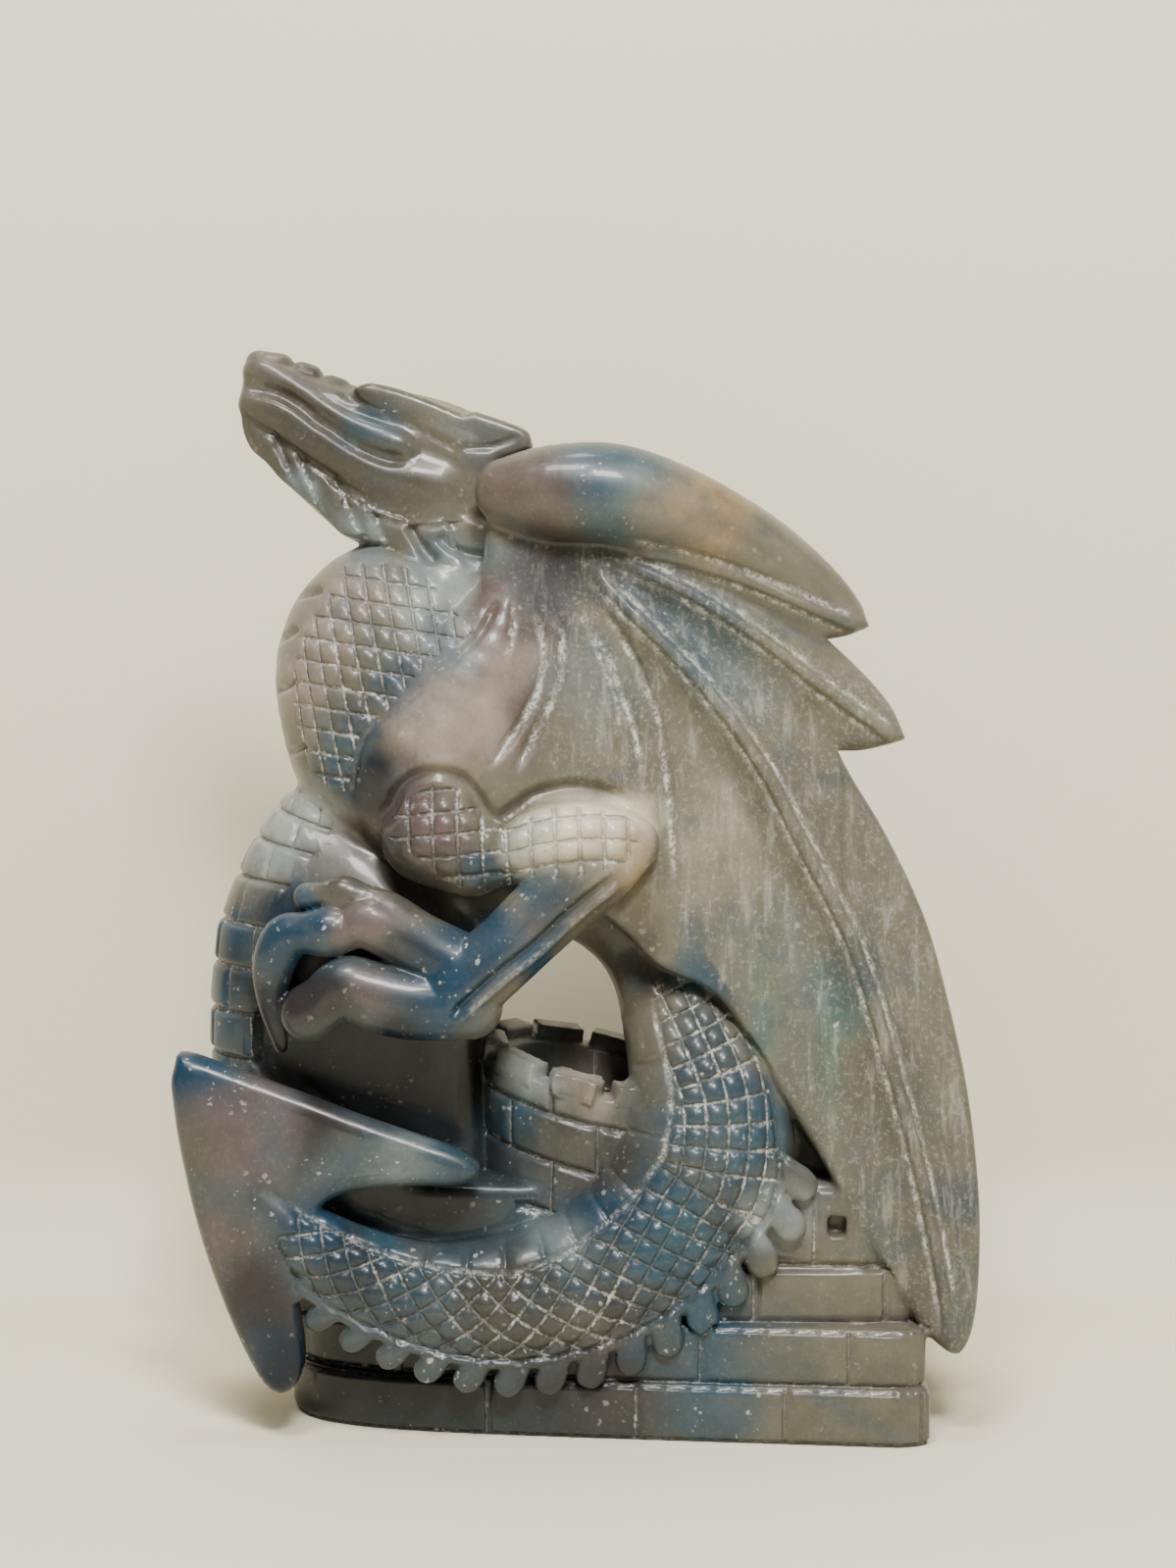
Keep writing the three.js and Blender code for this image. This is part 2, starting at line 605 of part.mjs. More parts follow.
const stone = new THREE.MeshStandardMaterial({ color: 0x8d8b80, roughness: 0.28, metalness: 0 });
const statue = new THREE.Mesh(geometry, stone);
statue.name = "dragon_statue";

const part = new THREE.Group();
part.add(statue);
export default part;
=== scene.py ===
import math
import bpy
import numpy as np
import openvdb
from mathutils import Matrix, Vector


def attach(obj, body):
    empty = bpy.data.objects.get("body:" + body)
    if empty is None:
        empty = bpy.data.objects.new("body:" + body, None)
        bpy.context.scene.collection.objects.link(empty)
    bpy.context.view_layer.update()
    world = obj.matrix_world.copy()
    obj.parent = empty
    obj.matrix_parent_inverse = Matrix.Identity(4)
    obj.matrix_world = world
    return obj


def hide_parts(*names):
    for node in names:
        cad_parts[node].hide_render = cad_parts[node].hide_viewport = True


# Dragon round a castle, carved from one block of polished soapstone.
# The form is worked out in millimetres on a fine grid, in the CAD frame's directions: +X right, +Y away,
# +Z up.
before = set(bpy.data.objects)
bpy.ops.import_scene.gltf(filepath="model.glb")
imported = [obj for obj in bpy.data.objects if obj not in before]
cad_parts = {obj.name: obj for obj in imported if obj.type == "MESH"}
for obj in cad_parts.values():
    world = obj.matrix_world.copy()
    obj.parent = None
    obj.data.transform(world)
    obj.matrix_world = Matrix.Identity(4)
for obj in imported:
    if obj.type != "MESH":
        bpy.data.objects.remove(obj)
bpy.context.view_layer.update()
print("frame loaded")

blockValues = {
    "gridPitch": 0.5,  # mm between the points the form is worked out on
    "draftPitch": 0.7,
    "gridLow": [-78.0, -34.0, -3.0],
    "gridHigh": [78.0, 34.0, 204.0],
    "triangleLimit": 190000,
    "frontLimit": -29.9,  # mm, the block's front face
}


# Points along a smooth line through the stations, each with its radius.
def smoothPath(stations, steps=4):
    rows = np.asarray(stations, float)
    padded = np.vstack([2 * rows[0] - rows[1], rows, 2 * rows[-1] - rows[-2]])
    made = []
    for i in range(1, len(padded) - 2):
        a, b, c, d = padded[i - 1:i + 3]
        for t in np.arange(steps) / steps:
            bend = (2 * a - 5 * b + 4 * c - d) * t ** 2 + (3 * b - a - 3 * c + d) * t ** 3
            made.append(0.5 * (2 * b + (c - a) * t + bend))
    made.append(rows[-1])
    return np.array(made)


# A closed outline, smooth between its sharp corners; a third value marks a corner.
def smoothOutline(points, steps=4):
    corners = [i for i, point in enumerate(points) if len(point) > 2]
    flat = [point[:2] for point in points]
    if not corners:
        looped = smoothPath([flat[-1], *flat, flat[0], flat[1]], steps)
        return looped[steps:-steps - 1]
    made = []
    for i, first in enumerate(corners):
        last = corners[(i + 1) % len(corners)]
        if last <= first:
            last += len(flat)
        run = [flat[k % len(flat)] for k in range(first, last + 1)]
        made.append(smoothPath(run, steps)[:-1])
    return np.vstack(made)


pitch = blockValues["gridPitch"]
gridLow = np.array(blockValues["gridLow"])
gridHigh = np.array(blockValues["gridHigh"])
emptySpace = 9.0  # mm, the distance that stands for far away from any form
gridCount = np.ceil((gridHigh - gridLow) / pitch).astype(int) + 1
axes = [(gridLow[i] + pitch * np.arange(gridCount[i])).astype(np.float32) for i in range(3)]
form = np.full(gridCount, emptySpace, np.float32)


def windowOf(low, high):
    first = np.clip(np.floor((np.asarray(low) - gridLow) / pitch).astype(int), 0, gridCount)
    last = np.clip(np.ceil((np.asarray(high) - gridLow) / pitch).astype(int) + 1, 0, gridCount)
    return tuple(slice(a, b) for a, b in zip(first, last))


def openAxes(window):
    x, y, z = (axes[i][window[i]] for i in range(3))
    return x[:, None, None], y[None, :, None], z[None, None, :]


def smoothMin(a, b, blend):
    if blend <= 0:
        return np.minimum(a, b)
    near = np.maximum(blend - np.abs(a - b), 0)
    return np.minimum(a, b) - near * near / (4 * blend)


def smoothMax(a, b, blend):
    return -smoothMin(-a, -b, blend)


def smoothStep(low, high, value):
    t = np.clip((value - low) / (high - low), 0, 1)
    return t * t * (3 - 2 * t)


def join(window, added, blend):
    form[window] = smoothMin(form[window], added, blend)


def cutAway(window, removed, blend):
    form[window] = smoothMax(form[window], -removed, blend)


def capsule(a, b, flatten, window):
    x, y, z = openAxes(window)
    px, py, pz = x - a[0], (y - a[1]) / flatten, z - a[2]
    bx, by, bz = b[0] - a[0], (b[1] - a[1]) / flatten, b[2] - a[2]
    length = bx * bx + by * by + bz * bz + 1e-9
    dot = px * bx + py * by + pz * bz
    t = np.clip(dot / length, 0, 1)
    away = px * px + py * py + pz * pz - t * (2 * dot - t * length)
    return np.sqrt(np.maximum(away, 0)) - (a[3] + t * (b[3] - a[3]))


# A tapering limb through stations [x, y, z, radius]; flatten is its depth as a share of its width.
def limb(stations, flatten=1.0, blend=2.0, steps=4, side=1):
    points = smoothPath(stations, steps)
    points[:, 1] *= side
    spare = blend + 1.5 * pitch
    reach = points[:, 3:4] + spare
    whole = windowOf((points[:, :3] - reach).min(0), (points[:, :3] + reach).max(0))
    found = np.full(tuple(s.stop - s.start for s in whole), emptySpace, np.float32)
    for a, b in zip(points[:-1], points[1:]):
        low = np.minimum(a[:3] - a[3], b[:3] - b[3]) - spare
        high = np.maximum(a[:3] + a[3], b[:3] + b[3]) + spare
        small = windowOf(low, high)
        inner = tuple(slice(s.start - w.start, s.stop - w.start) for s, w in zip(small, whole))
        found[inner] = np.minimum(found[inner], capsule(a, b, flatten, small))
    join(whole, found, blend)


def bothSides(stations, **options):
    for side in (1, -1):
        limb(stations, side=side, **options)


# Signed distance to a closed outline, below zero inside it.
def outlineDistance(outline, across, up):
    best = np.full(np.broadcast(across, up).shape, 1e9, np.float32)
    inside = np.zeros(best.shape, bool)
    for (ax, ay), (bx, by) in zip(outline, np.roll(outline, -1, axis=0)):
        ex, ey = bx - ax, by - ay
        t = np.clip(((across - ax) * ex + (up - ay) * ey) / (ex * ex + ey * ey + 1e-9), 0, 1)
        best = np.minimum(best, (across - ax - ex * t) ** 2 + (up - ay - ey * t) ** 2)
        if ey != 0:
            inside ^= ((ay > up) != (by > up)) & (across < ex * (up - ay) / ey + ax)
    return np.where(inside, -1, 1) * np.sqrt(best)


# The same for an outline drawn in the front view, over a window of the grid.
def frontDistance(outline, x, z):
    return outlineDistance(outline, x[:, 0], z[0])[:, None, :]


# Distance to an open line [[x, z], ...] in the front view, and the share of the way along it.
def lineDistance(line, across, up):
    line = np.asarray(line, float)[:, :2]
    steps = np.hypot(*np.diff(line, axis=0).T)
    starts = np.concatenate([[0], np.cumsum(steps)])
    best = np.full(np.broadcast(across, up).shape, 1e9)
    along = np.zeros(best.shape)
    for i, ((ax, ay), (bx, by)) in enumerate(zip(line[:-1], line[1:])):
        ex, ey = bx - ax, by - ay
        t = np.clip(((across - ax) * ex + (up - ay) * ey) / (ex * ex + ey * ey + 1e-9), 0, 1)
        away = (across - ax - ex * t) ** 2 + (up - ay - ey * t) ** 2
        nearer = away < best
        best = np.where(nearer, away, best)
        along = np.where(nearer, (starts[i] + t * steps[i]) / starts[-1], along)
    return np.sqrt(best), along


# Castle: plinth, wall behind the tail, gatehouse, domed tower
castleValues = {
    "courseHeight": 10.5,  # mm, a brick course of the plinth
    "edgeRound": 1.3,
    "setBack": 1.6,  # mm that the plinth's second course stands back from the first
    "wallTop": 46.0,
    "recessFloor": 9.5,  # mm from the middle to the floor of the dark hollow under the foot
    "windowWidth": 3.4,
    "windowHeight": 3.8,
    "windowDepth": 3.0,
    "windowPlace": (47.2, 38.9),  # x and z of its middle
    "wallFace": -21.0,  # y of the gatehouse's face round the window
    "towerRoundness": 2.4,  # 2 is an ellipse in plan, more is squarer
    "towerTop": 119.0,
}
courseHeight = castleValues["courseHeight"]
plinthTop = 2 * courseHeight
basePlan = smoothOutline([
    [-55, 10], [-54.5, -2], [-51, -9.5], [-44, -14.5], [-32, -18.5], [-10, -22], [20, -25.5],
    [58, -29.6, 1], [62.5, -28], [64, -22], [64, 22], [61, 28], [40, 30], [-10, 30], [-38, 28], [-50, 21],
], 3)
wallPlan = [
    [-52, 8], [-49, -8], [-38, -15], [-10, -18], [30, -20], [52, -22], [58, -18], [58, 18], [52, 24],
    [10, 25], [-36, 24], [-48, 17],
]
gatehouseRows = [
    {"left": 24, "right": 63.0, "near": -22.0, "tall": 1.0},
    {"left": 30, "right": 61.5, "near": -21.0, "tall": 1.0},
    {"left": 38, "right": 57.5, "near": -20.0, "tall": 0.45},
]


def planBlock(plan, low, high, blend, rounding):
    plan = np.asarray(plan, float)
    window = windowOf([plan[:, 0].min() - 4, plan[:, 1].min() - 4, low - 4],
                      [plan[:, 0].max() + 4, plan[:, 1].max() + 4, high + 4])
    x, y, z = openAxes(window)
    sideways = outlineDistance(plan, x[:, :, 0], y[:, :, 0])[:, :, None]
    upright = np.abs(z - (low + high) / 2) - (high - low) / 2
    join(window, smoothMax(sideways, upright, rounding), blend)


def buildCastle():
    rounding = castleValues["edgeRound"]
    planBlock(basePlan, 0, courseHeight, 0.2, rounding)
    upper = basePlan * [0.99, 1]
    upper[:, 1] += castleValues["setBack"] * (upper[:, 1] < -5)
    planBlock(upper, courseHeight - 2, plinthTop, 0.2, rounding)
    planBlock(wallPlan, plinthTop - 2, castleValues["wallTop"], 0.5, 3)
    for row, course in enumerate(gatehouseRows):
        left, right, near = course["left"], course["right"], course["near"]
        floor = plinthTop + row * courseHeight
        plan = [[left, near], [right - 3, near], [right, near + 4], [right, 24], [left, 24]]
        planBlock(plan, floor - 2, floor + course["tall"] * courseHeight, 0.2, 1.4 * rounding)
    window = windowOf([40, -30, 30], [54, -14, 48])
    x, y, z = openAxes(window)
    v = castleValues
    middleX, middleZ = v["windowPlace"]
    wide, tall = v["windowWidth"] / 2, v["windowHeight"] / 2
    hole = smoothMax(np.abs(x - middleX) - wide, np.abs(z - middleZ) - tall, 0.8)
    cutAway(window, smoothMax(hole, y - v["wallFace"] - v["windowDepth"], 0.5), 0.5)


# The tower's plan at each height: [z, left, right, near, far]
towerProfile = np.array([
    [20, -58, -14, -15, 20], [60, -69, -17, -17, 21], [70, -70.5, -18, -18, 22],
    [81, -70.2, -18, -18, 22], [92, -69, -18, -17.5, 21.5], [99, -66.5, -20, -16, 19],
    [106, -63.5, -29, -14, 16.5], [112, -60, -38, -11, 13], [117, -56, -44.5, -8, 9],
    [119.5, -52.5, -48, -3, 3],
])
recessOutline = [
    [-58, 79], [-40, 80], [-26, 78], [-18, 70], [-18, 56], [-24, 48], [-36, 50], [-48, 57], [-59, 66],
]


def buildTower():
    window = windowOf([-74, -24, 18], [-10, 26, 122])
    x, y, z = openAxes(window)
    heights = towerProfile[:, 0]
    left, right, near, far = (np.interp(z, heights, towerProfile[:, i]) for i in range(1, 5))
    u = (x - (left + right) / 2) / ((right - left) / 2)
    v = (y - (near + far) / 2) / ((far - near) / 2)
    reach = np.minimum(right - left, far - near) / 2
    power = castleValues["towerRoundness"]
    around = (np.power(np.abs(u) ** power + np.abs(v) ** power, 1 / power) - 1) * reach
    top = smoothMax(around, z - castleValues["towerTop"], 3)
    join(window, smoothMax(top, 19 - z, 0.5).astype(np.float32), 1.2)
    window = windowOf([-66, -30, 40], [-12, 0, 86])
    x, y, z = openAxes(window)
    edge = frontDistance(smoothOutline(recessOutline, 3), x, z)
    cutAway(window, smoothMax(edge, y + castleValues["recessFloor"], 4).astype(np.float32), 2)


turretValues = {
    "centreX": 3.0,
    "reachX": 22.0,
    "reachY": 19.5,
    "wallThickness": 5.5,  # mm
    "wellDepth": 8.0,
    "merlonCount": 10,
    "merlonLength": 9.5,
    "merlonHeight": 2.8,
    "fallRight": 0.22, "riseBack": 0.12,  # the rim's slopes
    "firstMerlon": 259.0,  # degrees round the rim
}


# The turret's rim falls to the right and rises to the back.
def rimHeight(x, y):
    v = turretValues
    return 65 - v["fallRight"] * (x + 7) + v["riseBack"] * (y + 17)


def buildTurret():
    v = turretValues
    window = windowOf([v["centreX"] - v["reachX"] - 4, -v["reachY"] - 4, 18],
                      [v["centreX"] + v["reachX"] + 4, v["reachY"] + 4, 84])
    x, y, z = openAxes(window)

    def ellipse(shrink):
        a, b = v["reachX"] - shrink, v["reachY"] - shrink
        return (np.sqrt(((x - v["centreX"]) / a) ** 2 + (y / b) ** 2) - 1) * min(a, b)

    rim = rimHeight(x, y)
    wall = smoothMax(smoothMax(ellipse(0), z - rim, 0.8), 19 - z, 0.5)
    well = smoothMax(ellipse(v["wallThickness"]), rim - v["wellDepth"] - z, 1.5)
    join(window, smoothMax(wall, -well, 0.8), 1.0)


def placeObject(name, data):
    made = bpy.data.objects.new(name, data)
    bpy.context.scene.collection.objects.link(made)
    return made


# The tools for a tree of nodes: add() makes a node and link() joins two sockets.
def nodeTools(tree):
    def add(kind, inputs=None, **settings):
        node = tree.nodes.new(kind)
        for name, value in settings.items():
            setattr(node, name, value)
        for name, value in (inputs or {}).items():
            if hasattr(value, "is_output"):
                tree.links.new(value, node.inputs[name])
            else:
                node.inputs[name].default_value = value
        return node
    return add, tree.links.new


# Runs a geometry tree on an object and gives back the points and faces it makes.
def grown(carrier, tree, inputs):
    modifier = carrier.modifiers.new("grow", "NODES")
    modifier.node_group = tree
    for item in tree.interface.items_tree:
        if item.item_type == "SOCKET" and item.in_out == "INPUT" and item.name in inputs:
            modifier[item.identifier] = inputs[item.name]
    graph = bpy.context.evaluated_depsgraph_get()
    mesh = bpy.data.meshes.new_from_object(carrier.evaluated_get(graph), depsgraph=graph)
    carrier.modifiers.remove(modifier)
    mesh.calc_loop_triangles()
    points = np.empty(len(mesh.vertices) * 3, np.float32)
    mesh.vertices.foreach_get("co", points)
    faces = np.empty(len(mesh.loop_triangles) * 3, np.uint32)
    mesh.loop_triangles.foreach_get("vertices", faces)
    bpy.data.meshes.remove(mesh)
    bpy.data.objects.remove(carrier)
    return points.reshape(-1, 3), faces.reshape(-1, 3)


# Closed small forms made by a geometry tree, turned into part of the block.
def joinFaces(points, faces, blend):
    scale = openvdb.createLinearTransform(pitch)
    lifted = (points - gridLow).astype(np.float32)
    level = openvdb.FloatGrid.createLevelSetFromPolygons(
        lifted, triangles=faces, transform=scale, halfWidth=5.0)
    window = windowOf(points.min(0) - 3, points.max(0) + 3)
    found = np.full(tuple(s.stop - s.start for s in window), 5 * pitch, np.float32)
    level.copyToArray(found, ijk=tuple(int(s.start) for s in window))
    join(window, found, blend)


def curveObject(name, points, radii):
    curve = bpy.data.curves.new(name, "CURVE")
    curve.dimensions = "3D"
    spline = curve.splines.new("POLY")
    spline.points.add(len(points) - 1)
    for spot, place, radius in zip(spline.points, points, radii):
        spot.co = (*place, 1)
        spot.radius = radius
    return placeObject(name, curve)


def leafMesh(name, rings, sides):
    bare = bpy.data.meshes.new(name)
    points = [(0, 0, rings[0][0] - 0.02)]
    for z, wide, deep in rings:
        for i in range(sides):
            turn = 2 * math.pi * i / sides
            points.append((wide * math.cos(turn), deep * math.sin(turn), z))
    points.append((0, 0, rings[-1][0] + 0.02))
    last = len(points) - 1
    faces = []
    for i in range(sides):
        j = (i + 1) % sides
        faces.append((0, 1 + j, 1 + i))
        faces.append((last, last - sides + i, last - sides + j))
        for r in range(len(rings) - 1):
            a, b = 1 + r * sides, 1 + (r + 1) * sides
            faces.append((a + i, a + j, b + j, b + i))
    bare.from_pydata(points, [], faces)
    return bare


# Body and tail
bodyStations = [
    [-26, 0, 172, 9.5], [-29, 0, 161, 11.4], [-32.5, 0, 152, 14.9], [-35.5, -1, 143, 21],
    [-35.5, -1, 134, 21.2], [-32.5, -1, 123.5, 20.2], [-24, 0, 112.5, 17.5], [-12, 0, 107.5, 15.5],
    [0, 0, 103.5, 13.5], [8.5, -1, 95.5, 10],
]
tailStations = [
    [8.5, -1, 95.5, 9.5], [14, -4, 85, 8.5], [19, -9, 74.5, 11], [23.5, -13, 63, 14.5],
    [23, -14.5, 50, 16.8], [19, -15, 43.5, 16], [14.5, -16, 38, 15.5], [8, -17, 32.5, 14.5],
    [0, -18, 28, 13.5], [-13.5, -19.5, 25, 12], [-27, -21, 26, 10], [-40, -22, 30.5, 8.5],
    [-49, -23.6, 36, 7], [-56, -24.8, 42, 5], [-60, -25.6, 47, 2.6],
]
finOutline = smoothOutline([
    [-71.5, 71.5], [-61.5, 68], [-50.5, 64], [-40, 60], [-30, 56.5], [-21.5, 53.5], [-18, 50.5],
    [-21, 47.5], [-33, 47], [-43.5, 45.5], [-48, 42], [-51, 36], [-51.5, 27], [-50.2, 16], [-52, 10.5],
    [-55, 9], [-58.5, 12], [-62, 18.5], [-65.5, 27], [-69, 37.5], [-71.8, 49], [-73.6, 60.5],
    [-73.6, 69.5],
])
finValues = {
    "middle": -23.3,
    "thickness": 8.0,
    "edgeRound": 3.4,
}


def buildTail():
    limb(bodyStations, flatten=0.86, blend=2.5, steps=4)
    limb(tailStations, flatten=0.8, blend=2.0, steps=4)
    v = finValues
    window = windowOf([-77, -32, 4], [-14, -15, 76])
    x, y, z = openAxes(window)
    edge = frontDistance(finOutline, x, z)
    body = np.abs(y - v["middle"]) - v["thickness"] / 2
    join(window, smoothMax(edge, body, v["edgeRound"]), 0.5)
    ridge = [[-71, -25.2, 66, 2], [-65, -25.2, 52, 4.5], [-59, -24.8, 38, 4], [-56, -24.4, 24, 3],
             [-55, -24, 13, 2]]
    limb(ridge, flatten=0.75, blend=3)


# Head: jaws, cheek, nose ridge, horns, beard
def plate(outline, near, far, rounding, blend):
    outline = smoothOutline(outline, 3)
    for side in (1, -1):
        low, high = sorted([-side * near, -side * far])
        window = windowOf([outline[:, 0].min() - 3, low - 3, outline[:, 1].min() - 3],
                          [outline[:, 0].max() + 3, high + 3, outline[:, 1].max() + 3])
        x, y, z = openAxes(window)
        edge = frontDistance(outline, x, z)
        join(window, smoothMax(edge, np.abs(y - (low + high) / 2) - (high - low) / 2, rounding), blend)


# A plate on both sides of the middle; its half thickness follows x through the given places.
def facePlate(outline, places, halves, rounding, blend):
    outline = smoothOutline(outline, 3)
    most = max(halves) + 3
    window = windowOf([outline[:, 0].min() - 3, -most, outline[:, 1].min() - 3],
                      [outline[:, 0].max() + 3, most, outline[:, 1].max() + 3])
    x, y, z = openAxes(window)
    edge = frontDistance(outline, x, z)
    thick = np.abs(y) - np.interp(x, places, halves)
    join(window, smoothMax(edge, thick, rounding).astype(np.float32), blend)


faceOutline = [
    [-62.9, 197.5], [-60.8, 199.3], [-57.5, 198.8], [-52, 196], [-46, 193.4], [-40, 191.6], [-33, 189.5],
    [-25, 186], [-18, 182.5], [-15, 177], [-16.5, 171.5], [-23.2, 168.6], [-27.1, 168.2], [-32.5, 168.5],
    [-37.9, 170.4], [-44, 175.1], [-52.1, 180.8], [-59.8, 186.4], [-62.9, 188.8], [-64, 190.6],
    [-63.4, 193], [-63, 195.2],
]
beardOutline = [
    [-62.9, 189.5], [-59.8, 186.8], [-52, 181.2], [-44, 175.4], [-35, 169.8], [-27, 169], [-21, 169.4],
    [-16.6, 166.5], [-15.4, 163], [-16.6, 160.4], [-19.5, 159.6], [-23.3, 159.8], [-31.1, 161],
    [-36.9, 164], [-43.8, 165.8], [-46.5, 168.1], [-49.2, 170.8], [-53.5, 174.3], [-56.2, 176.6],
    [-58.9, 179.7], [-61.8, 182.3], [-63.4, 186.5],
]
hornOutline = [
    [-42, 193.2, 1], [-38.8, 194.1], [-33, 192.8], [-27.2, 190.7], [-21.4, 188.3, 1], [-19.6, 188.9, 1],
    [-15.6, 187.6], [-10.8, 185.8], [-9.2, 184.4], [-9, 181.8, 1], [-14.8, 179.7], [-20.2, 177.8, 1],
    [-24.9, 182.2], [-31.1, 185.8], [-38.8, 189.3],
]


def buildHead():
    limb([[-58.6, 0, 188.2, 4.8], [-52, 0, 185, 6.2], [-43.5, 0, 180.2, 8.0], [-35, 0, 176.6, 8.8],
          [-27, 0, 174.8, 8.8], [-20.5, 0, 172.5, 7.6]], flatten=0.88, blend=1.5)
    limb([[-60, 0, 193.8, 2.8], [-52, 0, 190.4, 3.8], [-43, 0, 186.2, 5.4], [-33, 0, 182, 6.8]],
         flatten=0.95, blend=1)
    bothSides([[-60.4, -2, 190.6, 2.9], [-54, -3.6, 188.4, 3.5], [-47.5, -4.8, 184.4, 4.2],
               [-41, -5.6, 180.6, 4.8], [-34.5, -6, 177, 5.2], [-27, -5.6, 175, 5.4]],
              flatten=0.8, blend=2.2)
    limb([[-60.3, 0, 196.6, 2.8], [-53, 0, 194.2, 3.0], [-44, 0, 190.3, 4.2], [-35, 0, 186.5, 5.4],
          [-27, 0, 183, 6.5]], flatten=1.0, blend=1.0)
    limb([[-44, 0, 190.3, 2.4], [-34, 0, 188.2, 4.8], [-24, 0, 185, 5.4], [-15, 0, 181.5, 4]], flatten=1.1,
         blend=1.5)
    facePlate(faceOutline, [-64, -55, -45, -33, -20], [3.6, 5.0, 6.6, 8.0, 8.6], 3.0, 1.6)
    facePlate(beardOutline, [-63, -52, -40, -30, -16], [3.4, 5.6, 8.4, 9.8, 9.8], 1.5, 0.3)
    lip = [[-61, -1.8, 196.0, 1.7], [-57.6, -3, 195.2, 1.9], [-52.2, -4.6, 192.4, 1.9],
           [-47.6, -5.6, 189.2, 2.1], [-43, -6.4, 186.3, 2.5], [-38, -7.2, 184.0, 3.0],
           [-34, -7.5, 182.6, 3.0], [-32.2, -7.3, 182.0, 2.6]]
    bothSides(lip, flatten=0.85, blend=0.7)
    limb([[-58.5, 0, 185, 3.0], [-52.5, 0, 180.4, 4.6], [-45, 0, 175, 6.4], [-36, 0, 170.8, 8.2],
          [-28, 0, 168.8, 9.0], [-21, 0, 166.5, 8]], flatten=0.82, blend=1.0)
    bumps = [[-60.4, -56.2, 198.1, 2.5], [-52.4, -50.6, 196.2, 2.3], [-47.0, -45.2, 193.7, 2.3]]
    for left, right, z, r in bumps:
        limb([[left, 0, z + 0.2, r], [right, 0, z - 0.4, r]], flatten=1.2, blend=0.1, steps=1)
    plate(hornOutline, 3.4, 8.2, 1.8, 1.6)
    limb([[-23, -2, 167, 7], [-24, -3.5, 159, 8.6], [-26, -4, 150, 9]], flatten=0.9, blend=2.0)


# Wings
wingValues = {
    "gap": 16.0,  # mm between the two wings
    "webOverlap": 1.5,
    "edgeRound": 2.2,
    "ribWidth": 1.9,
    "ribHeight": 2.5,
    "chipDepth": 0.9,  # mm that the break by the wing's second notch is sunk
    "hollow": 2.0,  # mm that the membrane sinks between its ribs
    "haunchSwell": 2.6,
}
wingOutline = smoothOutline([
    [-18, 158], [-16, 172], [-8, 181], [3, 181.5], [13.5, 180], [24.5, 175.5], [35, 169.5], [44, 161.5],
    [50.5, 154.5], [53.2, 148.8, 1], [49, 147.2], [45.5, 146.5, 1], [51.5, 141], [57, 134.5],
    [59.8, 128.2, 1], [52.5, 126.2], [47.5, 126, 1], [50.5, 120.5], [56.5, 110.5], [63.3, 96], [67.6, 81],
    [71.2, 64.5], [73.2, 48], [73.6, 35], [72.8, 24], [70.8, 17.4], [68.2, 15.8], [62.8, 20, 1],
    [56.5, 30.6], [49, 43.2], [42, 55], [34.5, 67], [28, 78], [22.5, 83], [16, 85.5], [12, 88.5], [8, 93],
    [-6, 104], [-22, 112], [-27, 128], [-20, 146],
])
webOutline = smoothOutline([
    [-16, 160], [-6, 172], [8, 171], [22, 164], [34, 152], [40, 139], [42, 122], [48, 106], [55, 84],
    [59, 60], [58, 36], [46, 34], [31, 60], [22, 80], [8, 93], [-14, 104], [-20, 130],
])
wingArm = [
    [-13, -17, 173.5, 6.2], [-4.5, -18, 173.3, 8.6], [6.5, -18, 173, 9], [19, -16.5, 169.3, 8.2],
    [31, -15, 163.5, 7], [42, -14, 156.5, 5.3], [49, -13, 151, 3],
]
wingRibs = [
    [[8, 163, 0.9], [20, 160.5, 1], [31, 157, 1], [42, 152.4, 1], [50, 149, 0.7]],
    [[7, 161, 1.0], [20, 155, 1.1], [32.5, 147, 1.1], [43.5, 138.5, 1], [57, 128.6, 0.7]],
    [[1, 160, 1.0], [13, 148, 1.2], [23.5, 137, 1.2], [33.5, 123, 1.2], [41.5, 107.5, 1.2],
     [50, 90.5, 1.2], [56, 71.5, 1.2], [61, 53.5, 1.1], [64.5, 37.5, 1], [67.8, 20, 0.8]],
]
ribLines = [smoothPath(rib, 4) for rib in wingRibs]
haunch = [[-13, -12.5, 153, 7], [-19, -13.4, 139, 11.5], [-27, -13.4, 126.5, 13.8], [-31, -11.5, 116, 10.5]]
haunchOutline = smoothOutline([
    [-11, 158], [-14.5, 154], [-17.7, 148.4], [-20.6, 145], [-23.5, 142.1], [-28.4, 138.2],
    [-33.7, 133.6], [-37.8, 131], [-40.2, 128], [-41.6, 124.2], [-42.2, 120.3], [-41.6, 116.5],
    [-39, 112], [-32, 107], [-20, 106], [-8, 114], [-3, 128], [-3, 142], [-5, 155],
], 3)


# How far the flank stands out: more towards its foot.
def flankFace(z):
    return 16.5 + 11 * (1 - z / 170)


